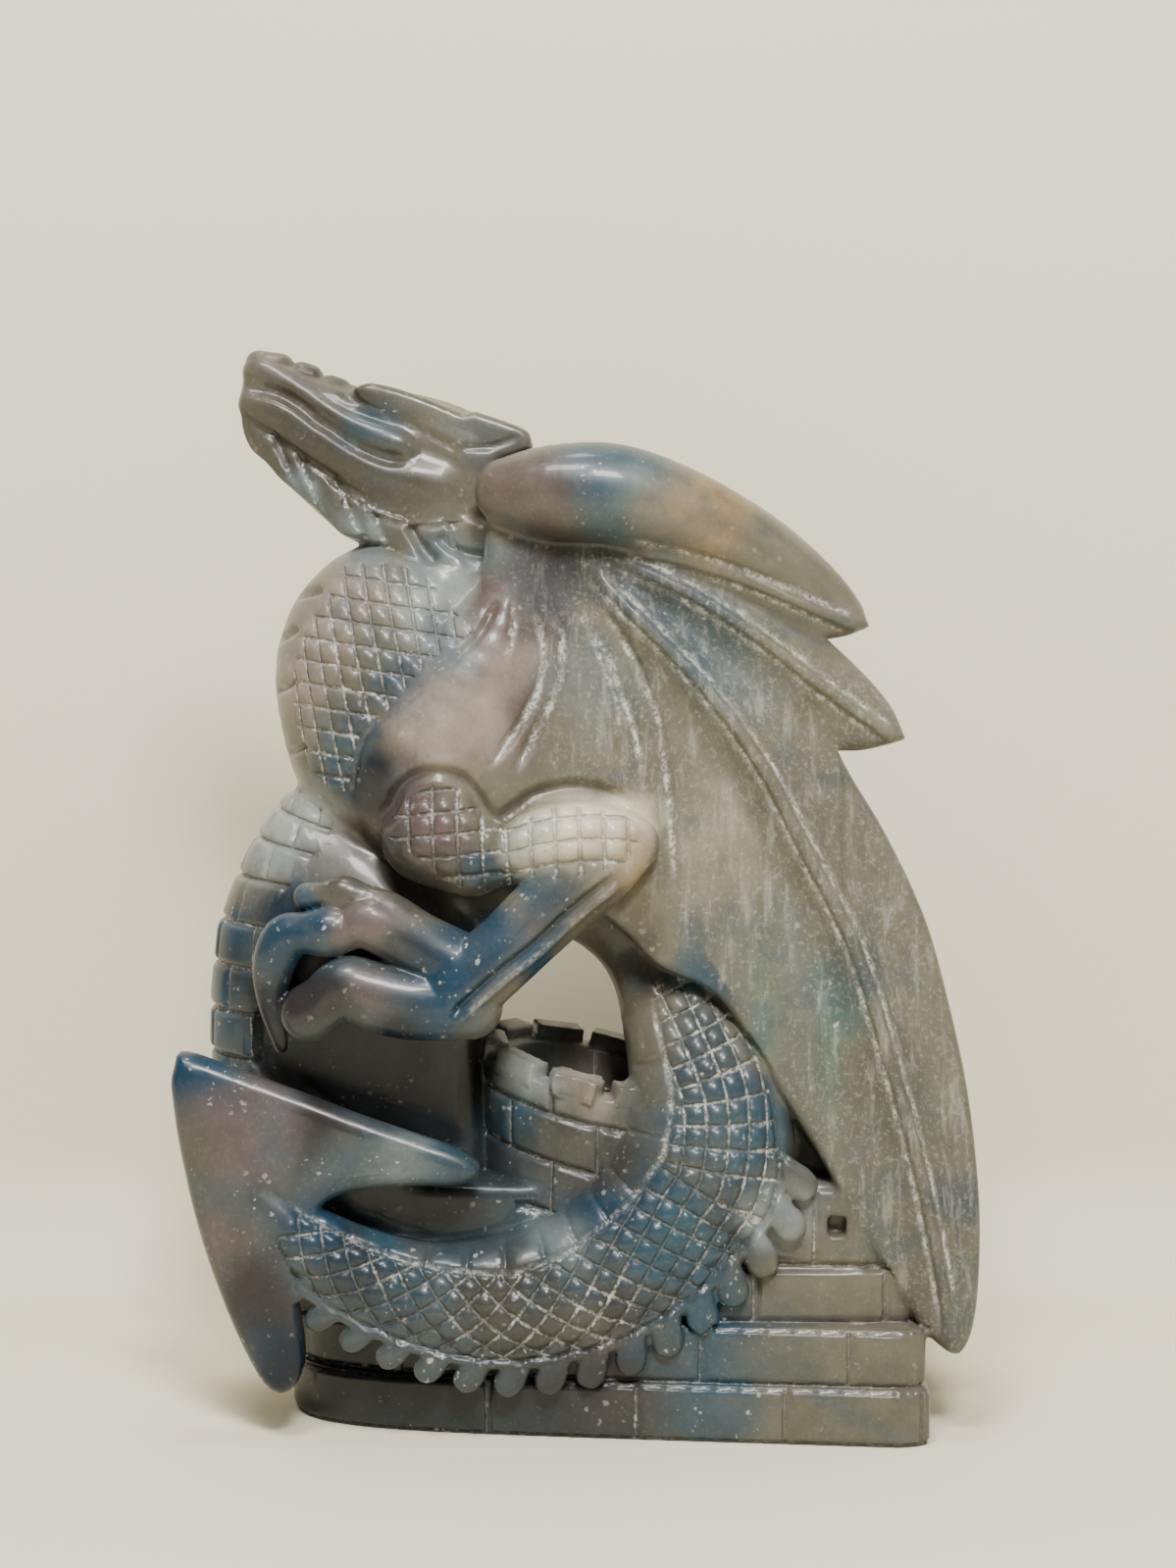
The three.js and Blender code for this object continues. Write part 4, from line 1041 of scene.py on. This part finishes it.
# Cuts the grooves of all scales and bricks; the scales swell between them.
def cutGrid(skin):
    marks, s, b = skin.marks, scaleValues, brickValues
    isBrick = marks["bricks"] > 0
    inTurret = skin.inTurret * isBrick
    wide = np.where(isBrick, b["grooveWidth"], s["grooveWidth"])
    deep = np.where(isBrick, b["grooveDepth"], s["grooveDepth"])
    tall = np.where(skin.z > plinthTop, b["towerBrickHeight"], courseHeight)
    tall = np.where(inTurret, b["turretCourseHeight"], np.where(isBrick, tall, s["across"]))
    length = np.where(skin.brickwork, b["brickLength"], b["towerBrickLength"])
    length = np.where(inTurret, b["turretBrickLength"], np.where(isBrick, length, s["across"]))
    shift = 0.5 * (np.floor(marks["gridV"]) % 2) * isBrick
    toU = cell(marks["gridU"] + shift) * length
    toV = cell(marks["gridV"]) * tall
    uprightJoint = np.exp(-(toU / wide) ** 2) * np.where(isBrick, b["uprightShare"], 1)
    groove = np.maximum(uprightJoint, np.exp(-(toV / wide) ** 2))
    bulge = np.where(isBrick, 0, s["bulge"] * (cell(marks["gridU"]) ** 2 + cell(marks["gridV"]) ** 2))
    marks["sink"] += np.maximum(marks["scales"], marks["bricks"]) * (deep * groove - bulge)


# The tail's belly plates inside the scales, and the grooves on both sides of the scales
def cutTail(skin):
    marks, share, place, inner = skin.marks, skin.share, skin.place, skin.inner
    plate = scaleValues["plateLength"]
    seen = skin.near * skin.onTail
    belly = seen * smoothStep(-0.99, -0.9, place) * smoothStep(inner + 0.03, inner - 0.05, place)
    belly *= smoothStep(0.1, 0.14, share) * smoothStep(0.93, 0.88, share)
    step = cell(skin.along / plate)
    marks["sink"] += belly * (0.55 * np.exp(-(step * plate / 0.5) ** 2) - 0.5 * step)
    edge = np.exp(-((place - inner + 0.03) * skin.radius / 0.55) ** 2) * seen
    outer = np.exp(-((place - 0.8) * skin.radius / 0.9) ** 2) * seen
    part = smoothStep(0.1, 0.14, share) * smoothStep(0.97, 0.93, share) * (1 - skin.hidden)
    marks["sink"] += (0.5 * edge + 1.1 * outer) * part
    marks["chalk"] = np.maximum(marks["chalk"], 0.45 * edge ** 2 * part)


def cutLines(skin):
    both = (1, -1)
    for line, width, deep in headLines:
        skin.engrave(line, width, deep, 0.08, both, least=1.2, ends=0.12)
    for line, width, deep in foldLines:
        skin.engrave(line, width, deep, 0.85, least=8, ends=0.25)
    skin.engrave(haunchEdge, 0.8, 0.9, 0.1, both, least=8, ends=0.08)
    skin.engrave(haloLine, 1.3, 1.7, 0.0, both, least=10, most=24, ends=0.1)
    skin.engrave(shinLine, 0.9, 1.5, 0.0, both, least=15, ends=0.1)
    skin.engrave(shinLine + [0.9, -1.4], 0.7, -0.8, 0.2, both, least=15, ends=0.1)
    for line in scuteLines:
        skin.engrave(line, 0.7, 1.3, 0.2, both, least=0, ends=0.0, steps=1)
    for shift, rib in zip(ribShift, ribLines):
        for way in (1, -1):
            skin.engrave(rib[:, :2] + way * shift, 0.55, 0.35, 0.75, both, least=9, ends=0.06, steps=1)


# The wing's membrane is sanded matt away from the arm and the leg; some places keep more dust.
def markFinish(skin):
    x, z, marks = skin.x, skin.z, skin.marks
    wing = skin.within(wingOutline, 1.0) * (skin.depth > 9) * smoothStep(0.3, 0.7, np.abs(skin.out))
    arm, _ = lineDistance(np.array(wingArm)[:, [0, 2]], x, z)
    away = smoothStep(8.5, 11, arm) * smoothStep(-12, 8, x + 0.25 * (z - 120))
    legs = skin.within(hipScales, 1.0) * (skin.depth > scaleValues["thighDepth"])
    marks["matte"] = wing * away * (1 - legs) * (skin.across > skin.radius * 0.97)
    for placeX, placeZ, reach in dustedPlaces:
        apart = np.hypot(x - placeX, z - placeZ) / reach
        marks["dusted"] = np.maximum(marks["dusted"], smoothStep(1, 0.4, apart) * (skin.y < 0))


# Every mark cut into the surface, worked out at given points with given normals.
def surfaceMarks(points, normals):
    skin = Skin(points, normals)
    for step in (layNeckAndThigh, cutBeard, layTail, layBricks, cutGrid, cutTail, cutLines, markFinish):
        step(skin)
    return skin.marks


marks = surfaceMarks(points, normalsOf(points, quads))
points = points - normalsOf(points, quads) * marks["sink"][:, None]
points[:, 1] = np.clip(points[:, 1], blockValues["frontLimit"], -blockValues["frontLimit"])
points[:, 2] = np.clip(points[:, 2], 0, None)
print("marks cut")


def meshObject(name, points, quads):
    placed = points / 1000
    mesh = bpy.data.meshes.new(name)
    mesh.vertices.add(len(placed))
    mesh.vertices.foreach_set("co", placed.astype(np.float32).ravel())
    mesh.loops.add(quads.size)
    mesh.loops.foreach_set("vertex_index", quads.astype(np.int32).ravel())
    mesh.polygons.add(len(quads))
    mesh.polygons.foreach_set("loop_start", np.arange(0, quads.size, quads.shape[1], dtype=np.int32))
    mesh.update()
    return placeObject(name, mesh)


carving = meshObject("carvedDragon", points, quads)


# Thins the faces where the surface is plain, down to the limit, and takes the result as the mesh.
def thinned(piece, limit):
    modifier = piece.modifiers.new("thin", "DECIMATE")
    modifier.ratio = limit / (2 * len(piece.data.polygons))
    graph = bpy.context.evaluated_depsgraph_get()
    mesh = bpy.data.meshes.new_from_object(piece.evaluated_get(graph), depsgraph=graph)
    piece.modifiers.remove(modifier)
    old = piece.data
    piece.data = mesh
    bpy.data.meshes.remove(old)
    mesh.name = piece.name


thinned(carving, blockValues["triangleLimit"])
mesh = carving.data
mesh.shade_smooth()
mesh.calc_loop_triangles()
print("thinned to", len(mesh.loop_triangles), "triangles")


def readMesh(mesh):
    spots = np.empty(len(mesh.vertices) * 3, np.float32)
    mesh.vertices.foreach_get("co", spots)
    ways = np.empty(len(mesh.vertices) * 3, np.float32)
    mesh.vertex_normals.foreach_get("vector", ways)
    return spots.reshape(-1, 3).astype(float) * 1000, ways.reshape(-1, 3).astype(float)


points, normals = readMesh(mesh)
marks = surfaceMarks(points, normals)
for name in ("gridU", "gridV", "scales", "bricks", "chalk", "matte", "dusted"):
    layer = mesh.attributes.new(name, "FLOAT", "POINT")
    layer.data.foreach_set("value", marks[name].astype(np.float32))


def stoneHex(code):
    parts = [int(code[i:i + 2], 16) / 255 for i in (0, 2, 4)]
    return [c / 12.92 if c <= 0.04045 else ((c + 0.055) / 1.055) ** 2.4 for c in parts]


def stoneColour(code):
    return (*stoneHex(code), 1)


# Clouds of colour in the stone, from the back of the list to the front: [x, z, reach, tint, strength]. Some
# dark clouds are painted shade over dark stone.
# The near-black tint is painted shade over dark stone: it darkens the hollow under the foot, the gap under
# the tail and the plinth's set-back left end.
tints = {
    "sand": "625e50", "olive": "565347", "umber": "393630", "taupe": "4e4840", "mauve": "524543",
    "plum": "252021", "slate": "283842", "teal": "234150", "blue": "123146", "navy": "05111e",
    "darkStoneAndShade": "010202", "grey": "616b6c", "mist": "8b918e", "pale": "aaa391", "fawn": "8d8078",
    "cream": "cfc6ae", "ochre": "826e4f", "rose": "594c4c", "sea": "4a6559",
}
clouds = [
    [0, 100, 220, "sand", 1.0], [-25, 12, 62, "slate", 0.8], [-50, 70, 40, "slate", 0.7],
    [20, 40, 34, "slate", 0.6], [-42, 184, 24, "umber", 0.85], [-24, 186, 14, "olive", 0.7],
    [-39, 187, 7, "teal", 0.6], [-56, 198, 6, "taupe", 0.6], [-52, 172, 8, "grey", 0.85],
    [-40, 163, 8, "grey", 0.85], [-24, 161, 8, "grey", 0.8], [-18, 140, 20, "mauve", 0.9],
    [-52, 142, 13, "fawn", 0.7], [-42, 152, 11, "fawn", 0.5], [-36, 138, 15, "olive", 0.6],
    [-27, 150, 11, "mist", 0.8], [-26, 147, 6, "blue", 0.5], [-32, 139, 5, "blue", 0.6],
    [-43, 124, 8, "teal", 0.8], [-38, 132, 5, "blue", 0.7], [-48, 120, 6, "slate", 0.5],
    [-23, 131, 12, "fawn", 0.95], [-12, 142, 8, "fawn", 0.6], [-10, 154, 9, "mauve", 0.8],
    # The navy cloud at the haunch's lower left is dark stone with painted shade where the haunch turns
    # inward.
    [-33, 118, 11, "mauve", 0.8], [-40, 120, 8, "navy", 0.85], [-35, 113, 7, "plum", 0.7],
    [-10, 173, 12, "mauve", 0.8], [-2, 176, 7, "plum", 0.4], [7, 174, 11, "teal", 0.8],
    [14, 175, 8, "grey", 0.6], [24, 171, 13, "ochre", 0.75], [36, 162, 9, "sand", 0.6],
    # The plum and navy clouds under the wing's arm are dark stone with painted shade from the arm.
    [-7, 161, 8, "plum", 0.7], [2, 161, 9, "navy", 0.65], [12, 155, 9, "blue", 0.6],
    [22, 147, 9, "teal", 0.6], [30, 139, 8, "grey", 0.5], [0, 140, 9, "grey", 0.6],
    [24, 112, 8, "pale", 0.4], [46, 118, 12, "olive", 0.5], [30, 92, 12, "grey", 0.6],
    [27, 86, 8, "blue", 0.8], [20, 84, 6, "teal", 0.7], [41, 79, 11, "sea", 0.75],
    [50, 88, 9, "slate", 0.5], [56, 62, 9, "slate", 0.4], [36, 84, 5, "teal", 0.6],
    [52, 66, 10, "olive", 0.6], [60, 46, 14, "olive", 0.7], [69, 43, 5, "blue", 0.5],
    [64, 28, 10, "taupe", 0.6], [-26, 112, 9, "mauve", 0.9], [-17, 105, 7, "blue", 0.85],
    [-8, 104, 6, "teal", 0.7], [-1, 111, 11, "cream", 0.9], [8, 111, 8, "cream", 0.8],
    [9, 106, 6, "ochre", 0.7], [-8, 111, 5, "mist", 0.6], [2, 102, 7, "taupe", 0.7],
    [-5, 97, 7, "slate", 0.8], [-10, 91, 7, "rose", 0.6], [-14, 92, 6, "teal", 0.7],
    [-6, 88, 6, "blue", 0.9], [-21, 91, 8, "blue", 0.85], [-24, 82, 9, "blue", 0.95],
    [-30, 88, 6, "navy", 0.6], [-36, 96, 6, "rose", 0.95], [-43, 97, 5, "rose", 0.7],
    [-49, 99, 4, "blue", 0.95], [-54, 92, 6, "blue", 0.9], [-56, 81, 8, "navy", 0.9],
    [-47, 81, 7, "plum", 0.9], [-38, 83, 5, "mauve", 0.9], [-33, 76, 7, "navy", 0.9],
    [-56, 111, 13, "mist", 0.8], [-44, 109, 8, "taupe", 0.6], [-69, 91, 9, "blue", 0.95],
    [-68, 84, 7, "navy", 0.6], [-69, 76, 7, "blue", 0.8], [-30, 103, 8, "umber", 0.8],
    [-40, 106, 7, "umber", 0.8], [-71, 68, 9, "blue", 0.95], [-64, 62, 7, "slate", 0.6],
    [-60, 57, 11, "rose", 0.9], [-69, 50, 9, "taupe", 0.8], [-45, 58, 8, "plum", 0.95],
    [-33, 52, 7, "grey", 0.85], [-24, 50, 5, "teal", 0.6], [-66, 38, 9, "mauve", 0.8],
    [-58, 27, 10, "plum", 0.95], [-55, 16, 8, "blue", 0.9], [-57, 13, 4, "navy", 0.5],
    [-48, 40, 8, "blue", 0.85], [-40, 33, 8, "navy", 0.6], [-33, 29, 8, "slate", 0.8],
    [-35, 39, 5, "teal", 0.7], [-20, 36, 7, "slate", 0.6], [-12, 24, 11, "umber", 0.85],
    [2, 22, 8, "taupe", 0.7], [8, 27, 6, "plum", 0.5], [8, 43, 9, "blue", 0.75], [-4, 37, 7, "grey", 0.7],
    [18, 38, 10, "teal", 0.85], [30, 44, 9, "slate", 0.8], [25, 58, 11, "teal", 0.6],
    [22, 72, 8, "slate", 0.8], [30, 66, 6, "blue", 0.6], [34, 56, 7, "teal", 0.6],
    [36, 42, 7, "mist", 0.6], [24, 24, 8, "teal", 0.7], [10, 15, 7, "slate", 0.7],
    # The near-black clouds in the rows below are painted shade over dark stone, in the castle's hollows and
    # on the plinth's left end.
    [-52, 14, 12, "navy", 0.9], [-35, 10, 14, "darkStoneAndShade", 0.6], [0, 6, 15, "plum", 0.75],
    [8, 6, 8, "umber", 0.6], [26, 6, 9, "teal", 0.8], [24, 20, 7, "teal", 0.6], [50, 8, 16, "olive", 0.8],
    [44, 26, 14, "sand", 0.7], [-11, 65, 8, "mist", 0.85], [2, 64, 6, "fawn", 0.6],
    [4, 52, 9, "umber", 0.8], [-6, 54, 6, "umber", 0.7], [-14, 57, 6, "teal", 0.8],
    [7, 90, 7, "umber", 0.8], [14, 83, 6, "plum", 0.7], [-44, 66, 17, "darkStoneAndShade", 0.97],
    [-27, 61, 15, "darkStoneAndShade", 0.97], [-50, 90, 14, "darkStoneAndShade", 0.5], [-36, 84, 16, "darkStoneAndShade", 0.8],
    [-34, 46, 15, "darkStoneAndShade", 0.85], [-46, 12, 18, "darkStoneAndShade", 0.9], [-26, 14, 16, "darkStoneAndShade", 0.85],
    [-8, 12, 12, "darkStoneAndShade", 0.5], [-16, 46, 9, "navy", 0.5],
]
darkAndShadeBehind = {"darkStoneAndShade"}  # painted shade over dark stone: these only darken the castle's stone, behind the dragon


# The stone's colour at each point, with painted shade in the castle's hollows and under the wing's arm.
def stoneTint(points):
    x, y, z = points.T
    wave = 1.6 * np.sin(x / 5.1 + z / 7.3 + y / 6) + 1.1 * np.sin(z / 3.7 - x / 4.9 + 1.3)
    sway = 1.6 * np.sin(z / 5.7 - x / 8.3 + y / 7 + 2) + 1.1 * np.sin(x / 3.1 + z / 4.3)
    x, z = x + wave, z + sway
    colour = np.zeros((len(points), 3))
    for cx, cz, reach, tint, strength in clouds:
        away = np.sqrt((x - cx) ** 2 + (z - cz) ** 2) / reach
        weight = strength * smoothStep(1.15, 0.45, away)
        # The near-black tint is painted shade, so it lies only on stone behind the dragon's front parts.
        if tint in darkAndShadeBehind:
            weight = weight * smoothStep(-23, -21.5, y) * smoothStep(14, 0, y)
        colour += (np.array(stoneHex(tints[tint])) - colour) * weight[:, None]
    return colour


layer = mesh.attributes.new("stoneTint", "FLOAT_COLOR", "POINT")
tinted = np.ones((len(points), 4), np.float32)
tinted[:, :3] = stoneTint(points)
layer.data.foreach_set("color", tinted.ravel())
print("stone tinted")


# Polished soapstone: waxy and soft-lit under a buffed gloss, cloudy blue, mauve and sand, with pale flecks
# and pale dust left in the cut lines. The wing's membrane is only sanded, so it looks chalky beside the rest.
stoneValues = {
    "polishRoughness": 0.36,
    "sandedRoughness": 0.62,
    "waxDepth": 0.0022,  # metres that light soaks in
    "waxWeight": 0.18,
    "shine": 0.28,  # less than bare glass: wax in the pores
    "coatWeight": 0.16,
    "coatRoughness": 0.1,
    "ior": 1.54,
    "smear": 0.22,  # how much the polish varies
    "grainSize": 0.0016,  # metres
    "dust": "c9c8bf",
    "darkGrain": "3b3a38",
    "grooveTint": "24282b",
    "scaleSize": 4.1,  # mm, for the width of the dusted lines
    "brickLength": 18.0,
    "brickHeight": 9.0,
    "lineReach": 0.5,  # mm from a line's middle to where its dust ends
    "lineCore": 0.1,
    "largeFlecks": (0.0031, 0.26, 0.85),  # spacing in metres, size as a share of it, strength
    "smallFlecks": (0.0017, 0.3, 0.6),
}


def finishStone(material):
    v = stoneValues
    material.use_nodes = True
    tree = material.node_tree
    tree.nodes.clear()
    add, link = nodeTools(tree)

    def maths(operation, a, b=0.5, clamp=False):
        return add("ShaderNodeMath", {0: a, 1: b}, operation=operation, use_clamp=clamp).outputs[0]

    def times(a, b):
        return maths("MULTIPLY", a, b)

    def plus(a, b, clamp=False):
        return maths("ADD", a, b, clamp)

    def minus(a, b):
        return maths("SUBTRACT", a, b)

    def larger(a, b, clamp=False):
        return maths("MAXIMUM", a, b, clamp)

    def mark(name):
        return add("ShaderNodeAttribute", attribute_name=name).outputs["Fac"]

    def ramp(value, low, high):
        return add("ShaderNodeMapRange", {"Value": value, "From Min": low, "From Max": high},
                   interpolation_type="SMOOTHSTEP").outputs["Result"]

    def blendTo(share, first, second):
        return add("ShaderNodeMix", {"Factor": share, 6: first, 7: second}, data_type="RGBA").outputs[2]

    spot = add("ShaderNodeTexCoord").outputs["Object"]

    def noise(size, detail=3.0, rough=0.55, place=None):
        return add("ShaderNodeTexNoise", {"Vector": place or spot, "Scale": 1 / size, "Detail": detail,
                                          "Roughness": rough}).outputs["Fac"]

    gridU, gridV = mark("gridU"), mark("gridV")
    isBrick = ramp(mark("bricks"), 0.55, 0.75)
    isScale = ramp(mark("scales"), 0.5, 0.8)
    shift = times(maths("MODULO", maths("FLOOR", gridV), 2.0), 0.5)
    shifted = plus(gridU, times(shift, isBrick))

    def lineAt(value, size):
        return times(maths("PINGPONG", value, 0.5), size)

    wobble = times(minus(noise(0.0018), 0.5), 0.7)

    def grooveOf(across, up, length, height, share):
        line = plus(maths("MINIMUM", lineAt(across, length), lineAt(up, height)), wobble)
        return times(ramp(line, v["lineReach"], v["lineCore"]), share)

    scaleGroove = grooveOf(gridU, gridV, v["scaleSize"], v["scaleSize"], isScale)
    brickGroove = grooveOf(shifted, gridV, v["brickLength"], v["brickHeight"], isBrick)
    groove = larger(scaleGroove, brickGroove)

    # Dust lies in the cut lines in patches, broken up again and again, and thicker at the dusted places
    patchy = ramp(noise(0.009), 0.42, 0.62)
    broken = ramp(noise(0.0024, rough=0.6), 0.42, 0.6)
    dusty = ramp(noise(0.0007, rough=0.6), 0.32, 0.62)
    worn = plus(times(times(patchy, broken), 0.5), 0.1)
    thick = plus(times(broken, 0.36), 0.12)
    worn = plus(worn, times(mark("dusted"), thick))
    lineDust = times(times(groove, dusty), worn)
    cutDust = times(times(mark("chalk"), dusty), plus(broken, 0.25))

    jitter = add("ShaderNodeTexNoise", {"Vector": spot, "Scale": 900.0, "Detail": 2.0}).outputs["Color"]
    jitter = add("ShaderNodeVectorMath", {0: jitter, "Scale": 0.0016}, operation="SCALE").outputs["Vector"]
    shaken = add("ShaderNodeVectorMath", {0: spot, 1: jitter}, operation="ADD").outputs["Vector"]

    def specks(spacing, size, amount):
        cells = add("ShaderNodeTexVoronoi", {"Vector": shaken, "Scale": 1 / spacing}, feature="F1")
        reach = times(noise(2.1 * spacing, 1.0), size)
        apart = minus(cells.outputs["Distance"], reach)
        return times(ramp(apart, 0.04, -0.05), amount)

    # The ground colour is the stone's own tint together with painted shade in the castle's hollows and under
    # some parts.
    tinted = add("ShaderNodeAttribute", attribute_name="stoneTint").outputs["Color"]
    parts = add("ShaderNodeSeparateColor", {"Color": tinted}).outputs
    # Flecks come in clusters, most of them in the blue stone, and few where the stone is dark
    lit = ramp(parts["Green"], 0.0, 0.06)
    blueness = ramp(minus(parts["Blue"], parts["Red"]), -0.03, 0.05)
    clustered = times(ramp(noise(0.008), 0.45, 0.62), plus(blueness, 0.25, clamp=True))
    clustered = times(clustered, plus(times(lit, 0.6), 0.25))
    flecks = larger(specks(*v["largeFlecks"]), specks(*v["smallFlecks"]))
    flecks = times(flecks, clustered)
    mist = times(ramp(noise(0.0009, 4.0, 0.7), 0.5, 0.75), 0.4)

    matte = mark("matte")
    tone = plus(times(minus(noise(0.006, 5.0, 0.65), 0.5), 0.9), 1.0)
    ground = add("ShaderNodeVectorMath", {0: tinted, "Scale": tone}, operation="SCALE").outputs["Vector"]
    warm = times(ramp(noise(0.011, 4.0, 0.6), 0.5, 0.68), times(lit, 0.27))
    ground = blendTo(warm, ground, stoneColour(tints["taupe"]))
    cool = times(ramp(noise(0.013, 4.0, 0.6, shaken), 0.5, 0.36), times(lit, 0.3))
    ground = blendTo(cool, ground, stoneColour(tints["teal"]))
    dark = times(ramp(noise(0.0013, 5.0, 0.75), 0.55, 0.74), 0.35)
    ground = blendTo(dark, ground, stoneColour(v["darkGrain"]))
    ground = blendTo(times(groove, 0.35), ground, stoneColour(v["grooveTint"]))

    # The sanded membrane keeps the strokes of the file
    stretched = add("ShaderNodeMapping", {"Vector": spot, "Rotation": (0, 0.5, 0), "Scale": (1.0, 1.0, 0.16)})
    strokes = ramp(noise(0.0022, 4.0, 0.7, stretched.outputs[0]), 0.5, 0.72)
    haze = times(mist, plus(times(matte, 0.5), 0.15))
    haze = plus(haze, times(times(strokes, matte), 0.22), clamp=True)
    for share in (times(haze, lit), flecks, larger(lineDust, cutDust, clamp=True)):
        ground = blendTo(share, ground, stoneColour(v["dust"]))

    dulled = larger(larger(matte, times(groove, 0.8)), cutDust)
    roughness = add("ShaderNodeMapRange", {"Value": dulled, "To Min": v["polishRoughness"],
                                           "To Max": v["sandedRoughness"]}).outputs["Result"]
    smear = times(minus(noise(0.004, 4.0), 0.5), v["smear"])
    roughness = plus(roughness, smear, clamp=True)

    rough = plus(times(matte, 0.00012), 0.00002)
    pit = times(noise(v["grainSize"], 4.0), rough)
    height = minus(pit, times(groove, 0.0003))
    bump = add("ShaderNodeBump", {"Height": height, "Strength": 0.8, "Distance": 1.0})

    shader = add("ShaderNodeBsdfPrincipled", {
        "Base Color": ground, "Roughness": roughness, "Normal": bump.outputs["Normal"],
        "IOR": v["ior"], "Specular IOR Level": v["shine"],
        "Subsurface Weight": v["waxWeight"], "Subsurface Radius": (1.0, 0.85, 0.7),
        "Subsurface Scale": v["waxDepth"],
        "Coat Weight": v["coatWeight"], "Coat Roughness": v["coatRoughness"],
    })
    output = add("ShaderNodeOutputMaterial")
    link(shader.outputs["BSDF"], output.inputs["Surface"])


mesh.materials.clear()
finishStone(stone)
mesh.materials.append(stone)
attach(carving, "root")
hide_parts("dragon_statue")
print("stone finished")

# Studio
studioValues = {
    "cameraPlace": (0.0015, -0.52, 0.147),
    "cameraDip": 3.07,  # degrees
    "lens": 63.04,
    "filmWidth": 36,
    "backdrop": "e4dec8",
    "backdropDistance": 0.105,
    "backdropBend": 0.03,
    "lightAim": (0, 0, 0.1),
    "worldColour": (0.9, 0.93, 1.0, 1),
    "worldStrength": 0.13,
    "lights": [  # name, place, size, watts, colour
        ("highSoft", (-0.12, -0.45, 0.8), (0.22, 0.16), 6, (1.0, 0.97, 0.93)),
        ("frontSoft", (0.1, -0.62, 0.66), (0.16, 0.16), 8, (1.0, 0.98, 0.94)),
        ("crownSoft", (-0.05, -0.05, 0.9), (0.12, 0.12), 1.5, (1.0, 0.98, 0.95)),
        ("rightSoft", (0.75, -0.5, 0.4), (0.4, 0.4), 0.5, (0.95, 0.97, 1.0)),
    ],
}


def plainMaterial(name, colour, roughness):
    material = bpy.data.materials.new(name)
    material.use_nodes = True
    shader = material.node_tree.nodes["Principled BSDF"]
    shader.inputs["Base Color"].default_value = stoneColour(colour)
    shader.inputs["Roughness"].default_value = roughness
    return material


# A pale sheet that is the floor in front and sweeps up into the backdrop.
def buildFloor():
    back, bend = studioValues["backdropDistance"], studioValues["backdropBend"]
    profile = [(-1.6, 0.0), (back - bend, 0.0)]
    for i in range(1, 13):
        turn = math.pi / 2 * i / 12
        profile.append((back - bend + bend * math.sin(turn), bend - bend * math.cos(turn)))
    profile.append((back, 1.8))
    points = [(side * 2.0, y, z) for y, z in profile for side in (-1, 1)]
    faces = [(2 * i, 2 * i + 1, 2 * i + 3, 2 * i + 2) for i in range(len(profile) - 1)]
    sheet = bpy.data.meshes.new("paleSweep")
    sheet.from_pydata(points, [], faces)
    sheet.shade_smooth()
    sheet.materials.append(plainMaterial("palePaperSweep", studioValues["backdrop"], 0.9))
    placeObject("paleSweep", sheet)


def addLight(name, place, size, power, colour):
    light = bpy.data.lights.new(name, "AREA")
    light.shape = "RECTANGLE"
    light.size, light.size_y = size
    light.energy = power
    light.color = colour
    lamp = placeObject(name, light)
    lamp.location = place
    way = Vector(studioValues["lightAim"]) - Vector(place)
    lamp.rotation_euler = way.to_track_quat("-Z", "Y").to_euler()


buildFloor()
for row in studioValues["lights"]:
    addLight(*row)
world = bpy.data.worlds.new("studio")
world.use_nodes = True
sky = world.node_tree.nodes["Background"].inputs
sky["Color"].default_value = studioValues["worldColour"]
sky["Strength"].default_value = studioValues["worldStrength"]
bpy.context.scene.world = world

lens = bpy.data.cameras.new("photoCamera")
lens.lens = studioValues["lens"]
lens.sensor_width = studioValues["filmWidth"]
camera = placeObject("photoCamera", lens)
camera.location = studioValues["cameraPlace"]
camera.rotation_euler = (math.radians(90 - studioValues["cameraDip"]), 0, 0)
bpy.context.scene.camera = camera
print("studio set")
